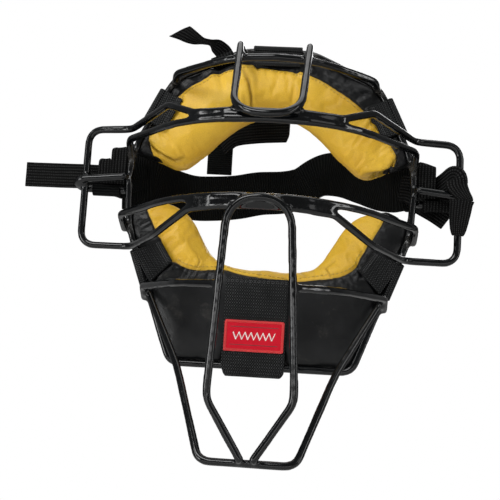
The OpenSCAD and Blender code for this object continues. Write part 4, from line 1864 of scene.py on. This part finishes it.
@dataclass
class ChinStrap:
    """The wide strap over the chin pad and round the rim's bottom, with its sewn label.

    Attributes:
        width: Its width in millimetres.
        shift: How far its middle lies to the wearer's right.
        top: The height of its sewn end.
        rim_bottom: The height of the rim's bottom.
        front: How far its outer face stands before the rim's plane.
        thickness: Its thickness.
        sag: How far it hangs slack under the rim.
        label_middle: The height of the label's middle.
        label_size: The label's width and height.
        label_thick: The label's thickness.
        edge: The width of the label's border.
        end_lean: How far the free end leans back from hanging straight down, in degrees.
        border_pitch: The spacing of the border's stitches.
        teeth: How many teeth the zigzag has.
    """

    width: float = 42.0
    shift: float = -4.5
    top: float = -50.0
    rim_bottom: float = -109.0
    front: float = -6.85
    thickness: float = 1.5
    sag: float = 2.4
    label_middle: float = -89.0
    label_size: Flat = (40.0, 21.0)
    label_thick: float = 0.9
    edge: float = 1.8
    end_lean: float = 78.0
    border_pitch: float = 0.5
    teeth: int = 7

    def strap(self) -> Strap:
        """The strap's run from its sewn end to the rear of the rim."""
        middle = self.front + self.thickness / 2
        plan = [(middle, self.top), (middle, -60.0), (middle, -75.0), (middle, -90.0), (middle, -97.0),
                (middle + 0.1, -100.8), (middle + 0.6, -104.0), (-4.6, -108.0)]
        for a in range(195, 361, 15):
            sag = self.sag * max(0.0, -math.sin(math.radians(a)))
            plan.append((3.8 * math.cos(math.radians(a)),
                         self.rim_bottom - sag + 3.8 * math.sin(math.radians(a))))
        route = [((self.shift, y, z), ACROSS) for y, z in plan]
        return Strap("chin_strap", route, self.width, self.thickness, step=1.0, columns=24, waver=0.12,
                     taper=lambda d: 1.0 - 0.13 * bell(d - 66.5, 3.6))

    def end(self) -> Strap:
        """The strap's free end under the pad."""
        lean = math.radians(self.end_lean)
        route = []
        for reach in (0.45, 5.0, 10.0, 15.0, 20.4):
            y = 4.55 - 0.75 * math.cos(lean) + reach * math.sin(lean)
            z = self.rim_bottom + 0.75 * math.sin(lean) + reach * math.cos(lean)
            route.append(((self.shift, y, z), ACROSS))
        return Strap("chin_strap_end", route, self.width - 1, self.thickness, step=1.1, columns=18)

    def on_label(self, x: float, z: float, out: float) -> Vector:
        """A point on the label.

        Args:
            x: Its distance from the label's middle to the side in millimetres.
            z: Its distance above the middle.
            out: Its distance off the strap's face.

        Returns:
            The point in metres.
        """
        return Vector((self.shift + x, self.front - out, self.label_middle + z)) * MM

    def patch(self, red: Finish) -> Piece:
        """The label's woven ground.

        Args:
            red: Its material.

        Returns:
            The patch.
        """
        wide, high = self.label_size
        y = self.front - self.label_thick / 2 - 0.05
        route = [((self.shift, y, self.label_middle + z), ACROSS)
                 for z in (-high / 2 + 0.3, -high / 4, 0.0, high / 4, high / 2 - 0.3)]
        ground = Strap("label_patch", route, wide - 0.6, self.label_thick - 0.1, step=0.8, columns=36,
                       waver=0.05)
        return ground.build(red)

    def border(self, red: Finish) -> Piece:
        """The label's raised border of close stitches.

        Args:
            red: The thread's material.

        Returns:
            The border.
        """
        wide, high = self.label_size
        sewing = Stitches("label_border", length=2.0, radius=0.34)
        inner_w, inner_h = wide / 2 - self.edge / 2, high / 2 - self.edge / 2
        lift = self.label_thick + 0.05
        for side in (-1, 1):
            for k in range(round(2 * inner_w / self.border_pitch) + 1):
                spot = self.on_label(-inner_w + k * self.border_pitch, side * inner_h, lift)
                sewing.add(spot, Vector((0.22, 0, 1)), FORWARD)
            for k in range(round(2 * inner_h / self.border_pitch) + 1):
                spot = self.on_label(side * inner_w, -inner_h + k * self.border_pitch, lift)
                sewing.add(spot, Vector((1, 0, 0.22)), FORWARD)
        return sewing.build(red)

    def motif(self, white: Finish, black: Finish) -> list[Piece]:
        """The label's embroidery: a zigzag line between two straight ones.

        Args:
            white: The zigzag's thread.
            black: The straight lines' thread.

        Returns:
            The zigzag and the lines.
        """
        zigzag = Stitches("label_zigzag", length=1.3, radius=0.3)
        turns = 2 * self.teeth
        corners = [(-14.0 + 28.0 * k / turns, (-1) ** k * 2.4) for k in range(turns + 1)]
        for (ax, az), (bx, bz) in zip(corners, corners[1:]):
            for k in range(6):
                share = (k + 0.5) / 6
                x, z = ax + (bx - ax) * share, az + (bz - az) * share
                zigzag.add(self.on_label(x, z, self.label_thick + 0.02), Vector((0.35, 0, 1)), FORWARD)
        lines = Stitches("label_lines", length=1.5, radius=0.24)
        for level in (-6.0, 6.0):
            for k in range(27):
                x = -16.0 + 32.0 * (k + 0.5) / 27
                lines.add(self.on_label(x, level, self.label_thick - 0.02), Vector(ACROSS), FORWARD)
        return [zigzag.build(white), lines.build(black)]

    def build(self, webbing: Finish, red: Finish, border_red: Finish, white: Finish, black: Finish) -> None:
        """Makes the strap, its free end, the label and the sewing.

        Args:
            webbing: The strap's material.
            red: The label's ground.
            border_red: The label's border.
            white: The zigzag's thread.
            black: The black thread.
        """
        route = self.strap()
        strap = route.build(webbing)
        end = self.end().build(webbing)
        patch = self.patch(red)
        border = self.border(border_red)
        zigzag, lines = self.motif(white, black)
        bar = Stitches("chin_strap_stitches", length=2.2, radius=0.24)
        for row in (1.6, 3.0):
            for k in range(14):
                bar.on_strap(route, row, -0.93 + 1.86 * k / 13, 0.78)
        sewn = bar.build(black)
        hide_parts("chin_strap")
        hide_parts("chin_strap_end")
        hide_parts("label_patch")
        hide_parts("label_border")
        settle([strap, sewn], Body.CAGE)
        settle([end], Body.CHIN_STRAP_END)
        settle([patch, zigzag, lines], Body.CAGE)
        settle([border], Body.CAGE)


# The harness


def mirrored(route: Sequence[Station]) -> list[Station]:
    """A route on the other side of the object.

    Args:
        route: The route.

    Returns:
        Its mirror image.
    """
    return [((-p[0], p[1], p[2]), (-w[0], w[1], w[2])) for p, w in route]


@dataclass
class Harness:
    """The elastic harness: a back band, a crown strap and two side straps with their folded ends.

    Attributes:
        band_width: The back band's width in millimetres.
        strap_width: The other straps' width.
        thickness: The webbing's thickness.
        side_x: How far out the side straps wrap their loops.
        loop_z: The height of the strap loops' rear arms.
    """

    band_width: float = 34.0
    strap_width: float = 19.0
    thickness: float = 1.6
    side_x: float = 114.0
    loop_z: float = 8.0

    def back_band(self) -> Strap:
        """The slack band behind the head, which widens where it is sewn to the side straps."""
        plan = [
            (-104.5, 22.8, 22.6, 0), (-98, 25.2, 22.6, 0), (-90, 29.2, 22.8, 0), (-86, 34.2, 23, 0),
            (-78, 45, 18.5, 0), (-62, 65, 17, 0), (-47, 73, 18.5, 0), (-30, 79, 21.5, 0.05),
            (-12, 82, 26, 0.1), (6, 83, 28, 0.15), (18, 81.5, 31.5, 0.2), (28, 78, 38, 0.2),
            (38, 73.5, 41.5, 0.15), (52, 64.5, 39.5, 0.1), (66, 53, 33, 0), (78, 43, 27.5, 0),
            (86, 34.2, 26.5, 0), (92, 29, 28, 0), (100, 25.2, 29, 0)]
        route = [((x, y, z), (0.0, lean, 1.0)) for x, y, z, lean in plan]
        band = Strap("back_band", route, self.band_width, self.thickness, step=1.4, columns=22, waver=0.2)
        long = band.length
        band.taper = lambda d: 1.0 + 0.38 * max(bell(d, 22.0), 0.82 * bell(long - d, 19.0))
        return band

    def crown_strap(self) -> Strap:
        """The strap from the band over the forehead pad to the rim."""
        route = [
            ((-43.5, 74.5, 37.6), ACROSS), ((-43.5, 73.5, 56.0), ACROSS), ((-42.5, 67.0, 76.0), (1, 0, 0.05)),
            ((-41.5, 55.0, 93.0), (1, 0, 0.1)), ((-40.5, 38.5, 104.0), (1, 0, 0.2)),
            ((-39.5, 21.5, 108.5), (1, 0, 0.35)), ((-38.0, 5.95, 103.8), (1, 0, 0.43))]
        return Strap("crown_strap", route, self.strap_width, self.thickness, columns=12)

    def crown_fold(self) -> Strap:
        """The crown strap's folded end, across behind the forehead pad."""
        route = [
            ((-44.0, 69.6, 59.5), (-0.5, 0, 0.86)), ((-33.5, 63.5, 66.5), (-0.2, 0, 0.97)),
            ((-15.5, 53.5, 67.5), (-0.05, 0, 1)), ((9.5, 45.5, 67.4), (0.1, 0, 1))]
        return Strap("crown_strap_fold", route, self.strap_width, self.thickness, columns=12,
                     end_trim=lambda c: 4.0 * max(0.0, -c - 0.4) ** 1.3)

    def wrap(self, side: int) -> Strap:
        """A strap's run from the band round the rear arm of its loop.

        Args:
            side: 1 on the positive X side, or -1.

        Returns:
            The strap.
        """
        middle = 2.7 + 0.4 + self.thickness / 2
        route = [
            ((90.8, 26.9, 23.2), UP), ((97.0, 22.4, 21.5), (0.1, 0, 1)),
            ((104.0, 18.6, 16.5), (0.5, 0.1, 0.87)), ((110.0, 14.5, 10.8), (0.9, 0, 0.44)),
            ((113.6, 9.8, 6.0), (1, 0, 0.1))]
        for z, y in arc(middle, range(0, 121, 20)):
            route.append(((self.side_x, 5.2 - y, self.loop_z - z), ACROSS))
        if side < 0:
            route = mirrored(route)
        return Strap("wrap", route, self.strap_width, self.thickness, step=1.0, columns=12, waver=0.0)

    def left_side_strap(self) -> list[Strap]:
        """The left strap, with the band's doubled end behind it."""
        doubled = mirrored([((92.0, 30.8, 16.0), UP), ((99.0, 27.0, 14.6), UP), ((107.0, 22.8, 14.0), UP)])
        return [self.wrap(-1), Strap("doubled", doubled, 32.0, self.thickness, columns=18)]

    def right_side_strap(self) -> list[Strap]:
        """The right strap, with its spare end below the loop."""
        slant = (0.58, 0.0, 0.815)
        spare = [
            ((96.0, 28.6, 20.0), (0.3, 0, 0.95)), ((102.0, 25.8, 16.5), (0.5, 0, 0.87)),
            ((108.0, 20.4, 12.0), slant), ((116.0, 15.0, 6.5), slant), ((123.9, 12.4, 0.9), slant)]
        return [self.wrap(1), Strap("spare", spare, self.strap_width, self.thickness, step=1.0, columns=12)]

    def pleat(self, x: float, width: float, top: float, slope: float) -> Strap:
        """A run up through a strap loop, over at the top and down behind.

        Args:
            x: The middle of the run.
            width: Its width.
            top: The height of its fold.
            slope: How much higher its fold is towards the mask, as a slope.

        Returns:
            The strap.
        """
        level = (-1.0, 0.0, 0.0)
        leaning = (-1.0, 0.0, slope)
        route = [
            ((x, 1.1, 11.8), level), ((x, 1.1, 20.0), level), ((x, 0.9, top - 5), leaning),
            ((x, 1.9, top - 1.3), leaning), ((x + 0.1, 4.6, top - 0.8), leaning),
            ((x + 0.1, 7.2, top - 3.4), leaning), ((x + 0.2, 8.4, top - 10), level),
            ((x + 0.2, 8.7, 16.5), level)]
        peak = top - 10.0
        return Strap("pleat", route, width, self.thickness, step=0.6, columns=10, cup=0.4, waver=0.3,
                     taper=lambda d: 1.0 - 0.5 * bell(d - peak, 2.4))

    def left_fold(self) -> list[Strap]:
        """The left strap's fold: two pleats in the loop and the flat start of its free end."""
        flat = [
            ((106.0, 10.8, 17.9), UP), ((115.0, 10.7, 17.8), UP), ((124.0, 10.3, 17.7), UP),
            ((131.4, 9.9, 17.7), UP)]
        pieces = [
            self.pleat(106.2, 11.4, 38.2, 0.12), self.pleat(116.0, 9.0, 29.8, 0.10),
            Strap("flat", flat, self.strap_width - 1.6, self.thickness, step=1.0, columns=12)]
        return [replace(piece, route=mirrored(piece.route)) for piece in pieces]

    def left_tail(self) -> Strap:
        """The left strap's free end."""
        x, z = self.side_x + 17.4, self.loop_z
        route = [
            ((x + 0.3, 9.8, z + 9.7), UP), ((x + 10, 9.7, z + 9.5), UP), ((x + 20, 9.5, z + 9.3), UP),
            ((x + 42, 9.0, z + 9.0), UP)]
        return Strap("left_strap_tail", mirrored(route), self.strap_width - 1.6, self.thickness, columns=12,
                     waver=0.3)

    def right_fold(self) -> list[Strap]:
        """The right strap's fold: a pleat in the loop and a twisted run over the ear loop."""
        twist = [
            ((108.0, 10.4, 21.0), UP), ((113.5, 8.2, 20.2), (-0.05, 0, 1)),
            ((118.5, 2.4, 23.4), (0.03, -0.1, 1)), ((122.6, -3.6, 26.4), (0.1, -0.2, 0.97)),
            ((125.0, -7.8, 25.0), (0.45, -0.1, 0.88)), ((125.7, -9.8, 19.2), (0.85, 0, 0.52)),
            ((128.6, -11.9, 13.6), (0.93, 0, 0.37)), ((131.6, -13.4, 9.4), (0.95, 0, 0.3)),
            ((132.4, -13.9, 7.4), (0.95, 0, 0.3))]
        run = Strap("twist", twist, 14.6, self.thickness, step=0.9, columns=12, waver=0.2)
        long = run.length
        run.taper = lambda d: 1.12 - 0.12 * min(1.0, d / 8.0) - 0.5 * max(0.0, 1 - (long - d) / 15.0)
        under = [((107.0, 11.6, 16.0), UP), ((116.0, 11.2, 15.0), UP), ((125.0, 10.4, 14.0), UP)]
        return [self.pleat(105.9, 13.0, 36.0, 0.30), run,
                Strap("under", under, 14.0, self.thickness, step=1.0, columns=10)]

    def right_tail(self) -> Strap:
        """The right strap's hanging end, which narrows in its folds."""
        route = [
            ((128.3, -14.6, 8.6), (1, 0, 0.1)), ((127.5, -15.1, 1.0), (1, 0, 0.03)),
            ((126.7, -15.1, -7.0), ACROSS), ((126.3, -14.6, -15.6), ACROSS)]
        shares = [(0.0, 1.0), (3.0, 0.9), (8.0, 0.86), (15.5, 0.76), (20.0, 0.66), (23.0, 0.54), (24.5, 0.42)]

        def taper(distance: float) -> float:
            """The share of its width that the end has at a distance."""
            for (near, before), (far, after) in zip(shares, shares[1:]):
                if distance <= far:
                    return before + (after - before) * (distance - near) / (far - near)
            return shares[-1][1]

        return Strap("right_strap_tail", route, self.strap_width - 2.4, self.thickness, step=0.9, columns=12,
                     cup=0.5, waver=0.4, taper=taper)

    def crown_loop(self) -> Strap:
        """The crown strap's loop round the rim."""
        lean = math.degrees(math.atan2(21.5, 47.0))
        holder = RimTab("crown_strap_loop", "", Body.CAGE, (38.0, 103.6), lean, -1, self.strap_width, 0.0)
        plan = arc(3.5, WRAP_ANGLES) + [(3.6, -1.0), (4.2, -1.9)] + REAR_RUN
        return Strap("crown_strap_loop", holder.route(plan), self.strap_width - 3, 0.9, step=0.9, columns=12,
                     waver=0.0)

    def crown_tail(self) -> Strap:
        """The crown strap's twisted free end."""
        x, z = -38.0, 108.15
        route = [
            ((x + 2.2, 5.6, z - 2.2), (0.96, 0, 0.28)), ((x - 0.8, 4.0, z + 2.2), (0.93, -0.1, 0.36)),
            ((x - 5.0, 1.4, z + 5.3), (0.78, -0.5, 0.3)), ((x - 9.8, 0, z + 7.6), (0.2, -0.98, -0.06)),
            ((x - 15, -1, z + 8.2), (0.0, -0.99, 0.0)), ((x - 22, -2, z + 10.2), (0.1, -0.75, 0.5)),
            ((x - 30, -2.8, z + 13.6), (0.1, -0.25, 0.95)), ((x - 37.8, -3.4, z + 15.6), (0, 0, 1))]
        return Strap("crown_strap_tail", route, self.strap_width * 0.62, self.thickness, step=0.9, columns=10,
                     end_trim=lambda c: 5.6 * (1.0 + c))

    def build(self, webbing: Finish, band: Finish) -> None:
        """Makes the harness.

        Args:
            webbing: The straps' material.
            band: The back band's material.
        """
        rides = [
            ("back_band", [self.back_band()], band, Body.HARNESS),
            ("crown_strap", [self.crown_strap()], band, None),
            ("crown_strap_fold", [self.crown_fold()], webbing, Body.HARNESS),
            ("left_side_strap", self.left_side_strap(), band, Body.HARNESS),
            ("right_side_strap", self.right_side_strap(), webbing, Body.HARNESS),
            ("left_strap_fold", self.left_fold(), webbing, Body.CAGE),
            ("left_strap_tail", [self.left_tail()], webbing, Body.LEFT_TAIL),
            ("right_strap_fold", self.right_fold(), webbing, Body.CAGE),
            ("right_strap_tail", [self.right_tail()], webbing, Body.RIGHT_TAIL),
            ("crown_strap_loop", [self.crown_loop()], webbing, Body.CAGE),
            ("crown_strap_tail", [self.crown_tail()], webbing, Body.CROWN_TAIL)]
        for name, straps, finish, body in rides:
            piece = joined(name, [strap.build(finish) for strap in straps])
            dress(piece, finish)
            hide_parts(name)
            if body is not None:
                settle([piece], body)
                continue
            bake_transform(piece)


# Studio and camera


@dataclass
class Studio:
    """The floor, the soft lamps and the white surround.

    Attributes:
        floor_height: The floor's height in metres.
        floor_size: The floor's width in metres.
        ambient: The strength of the surround on the object.
        mirrored: Its strength in mirroring surfaces.
        aim: What the lamps point at in metres.
    """

    floor_height: float = -0.45
    floor_size: float = 2.2
    ambient: float = 0.20
    mirrored: float = 0.03
    aim: Point = (0.0, -0.02, -0.02)

    def floor(self) -> None:
        """Makes the plain pale floor."""
        deselect()
        bpy.ops.mesh.primitive_plane_add(size=self.floor_size, location=(0, 0, self.floor_height))
        floor = bpy.context.object
        floor.name = "floor"
        bpy.ops.object.transform_apply(location=True, rotation=True, scale=True)
        material, g, shader, where = new_material("pale_floor")
        tone = grouped(g, tone_group(), Vector=where, Scale=4.0, Dark=(0.82, 0.82, 0.81, 1.0),
                       Light=(0.86, 0.86, 0.85, 1.0))
        g.put(shader, {"Base Color": tone.outputs["Color"], "Roughness": 0.8})
        dress(floor, material)

    def surround(self) -> None:
        """Makes the world: white where it is seen or mirrored, and dimmer as a light."""
        world = bpy.data.worlds.new("studio")
        world.use_nodes = True
        g = Graph(world.node_tree)
        path = g.add("LightPath")
        seen = g.math("MAXIMUM", path.outputs["Is Camera Ray"], path.outputs["Is Transmission Ray"])
        share = g.math("MAXIMUM", seen, g.math("MULTIPLY", path.outputs["Is Glossy Ray"], self.mirrored))
        lit = g.add("Background", {"Color": (1.0, 1.0, 1.0, 1.0), "Strength": self.ambient})
        white = g.add("Background", {"Color": (1.0, 1.0, 1.0, 1.0), "Strength": 1.0})
        mixed = g.add("MixShader", {0: share, 1: lit.outputs[0], 2: white.outputs[0]})
        g.add("OutputWorld", {"Surface": mixed.outputs[0]})
        bpy.context.scene.world = world

    def lamp(self, name: str, place: Point, size: Flat, power: float) -> None:
        """Adds a soft lamp that points at the object.

        Args:
            name: Its name.
            place: Its place in metres.
            size: Its width and height in metres.
            power: Its power in watts.
        """
        data = bpy.data.lights.new(name, "AREA")
        data.shape = "RECTANGLE"
        data.size, data.size_y = size
        data.energy = power
        lamp = bpy.data.objects.new(name, data)
        bpy.context.scene.collection.objects.link(lamp)
        lamp.location = place
        aim = Vector(self.aim) - Vector(place)
        lamp.rotation_euler = aim.to_track_quat("-Z", "Y").to_euler()

    def build(self) -> None:
        """Makes the studio."""
        self.floor()
        self.surround()
        self.lamp("key", (-0.55, -1.15, 1.0), (1.0, 0.6), 20.0)
        self.lamp("fill", (1.1, -0.95, 0.45), (0.4, 0.8), 1.8)
        self.lamp("overhead", (0.1, 0.1, 1.2), (1.5, 0.8), 8.0)
        self.lamp("left_strip", (-1.35, -0.75, 0.1), (0.16, 1.5), 8.0)
        self.lamp("right_strip", (1.45, -0.35, 0.1), (0.16, 1.5), 7.0)
        self.lamp("left_low", (-1.0, -0.9, -0.35), (0.3, 0.7), 8.0)
        self.lamp("low_strip", (0.0, -1.3, -0.42), (1.6, 0.14), 3.0)
        self.lamp("back", (0.3, 1.2, 0.7), (0.8, 0.6), 5.0)
        view = bpy.context.scene.view_settings
        view.view_transform = "Standard"


@dataclass
class Camera:
    """The photograph's camera, slightly below the mask and to its left.

    Attributes:
        lens: The focal length in millimetres.
        azimuth: Its angle round the mask in degrees.
        elevation: Its angle above the mask in degrees.
        roll: Its tilt in degrees.
        shift: Its shift to the side and upwards in millimetres.
        distance: Its distance in millimetres.
        target: What it looks at in millimetres.
    """

    lens: float = 74.09
    azimuth: float = 3.93
    elevation: float = -8.28
    roll: float = 3.56
    shift: Flat = (-11.14, 0.53)
    distance: float = 700.0
    target: Point = (0.0, 0.0, -30.0)

    def build(self) -> None:
        """Makes the camera."""
        a, e, r = (math.radians(angle) for angle in (self.azimuth, self.elevation, self.roll))
        back = Vector((math.sin(a) * math.cos(e), -math.cos(a) * math.cos(e), math.sin(e)))
        right = Vector((math.cos(a), math.sin(a), 0.0))
        up = back.cross(right)
        turned_right = right * math.cos(r) + up * math.sin(r)
        turned_up = -right * math.sin(r) + up * math.cos(r)
        place = Vector(self.target) + back * self.distance
        place = place + turned_right * self.shift[0] + turned_up * self.shift[1]
        data = bpy.data.cameras.new("camera")
        data.lens = self.lens
        data.sensor_width = 36.0
        data.clip_start = 0.01
        camera = bpy.data.objects.new("camera", data)
        bpy.context.scene.collection.objects.link(camera)
        axes = Matrix((turned_right, turned_up, back)).transposed().to_4x4()
        camera.matrix_world = Matrix.Translation(place * MM) @ axes
        bpy.context.scene.camera = camera


def main() -> None:
    """Builds the dressed mask, its studio and its camera."""
    logging.basicConfig(level=logging.INFO)
    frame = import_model()
    Camera().build()
    Studio().build()
    wire = DippedVinyl().build()
    leather = Leather("yellow_leather", dark=(0.49, 0.278, 0.012, 1.0), light=(0.62, 0.385, 0.032, 1.0),
                      roughness=0.44, gloss=0.30, dust=(0.25, 0.17, 0.05, 1.0), dust_amount=0.12).build()
    vinyl = Leather("black_vinyl", dark=(0.0016, 0.0018, 0.0020, 1.0), light=(0.0060, 0.0063, 0.0068, 1.0),
                    roughness=0.34, gloss=0.20, grain_scale=1100.0, grain_depth=0.00005,
                    dust=(0.30, 0.28, 0.24, 1.0), dust_amount=0.10).build()
    webbing = Webbing("stiff_webbing").build()
    soft_webbing = Webbing("soft_webbing", dark=(0.0002, 0.0002, 0.0002, 1.0),
                           light=(0.0260, 0.0265, 0.0260, 1.0), weft_pitch=0.0013, warp_pitch=0.0021,
                           weft_depth=0.22, warp_depth=0.55, dot_depth=0.5).build()
    band = Webbing("ribbed_elastic", dark=(0.0004, 0.0006, 0.0005, 1.0), light=(0.0056, 0.0064, 0.0062, 1.0),
                   weft_pitch=0.0017, warp_pitch=0.0026, weft_depth=0.9, warp_depth=0.0,
                   dot_depth=0.05).build()
    yellow = Thread("yellow_thread", dark=(0.30, 0.17, 0.006, 1.0), light=(0.52, 0.35, 0.015, 1.0)).build()
    black = Thread("black_thread", dark=(0.004, 0.004, 0.004, 1.0), light=(0.025, 0.025, 0.027, 1.0)).build()
    white = Thread("white_thread", dark=(0.55, 0.53, 0.50, 1.0), light=(0.88, 0.86, 0.83, 1.0)).build()
    red = Webbing("label_red", dark=(0.42, 0.006, 0.016, 1.0), light=(0.62, 0.014, 0.032, 1.0),
                  weft_pitch=0.0006, warp_pitch=0.0006, weft_depth=0.5, warp_depth=0.5, dot_depth=0.0,
                  relief=0.00012).build()
    border_red = Thread("border_red", dark=(0.36, 0.003, 0.004, 1.0), light=(0.62, 0.010, 0.010, 1.0)).build()
    DippedCage().build(frame, wire)
    for pad in (upper_pad(), lower_pad()):
        pad.build(leather, vinyl, yellow)
    for tab in rim_tabs():
        tab.build(webbing, black)
    ChinStrap().build(webbing, red, border_red, white, black)
    Harness().build(soft_webbing, band)


if __name__ == "__main__":
    main()
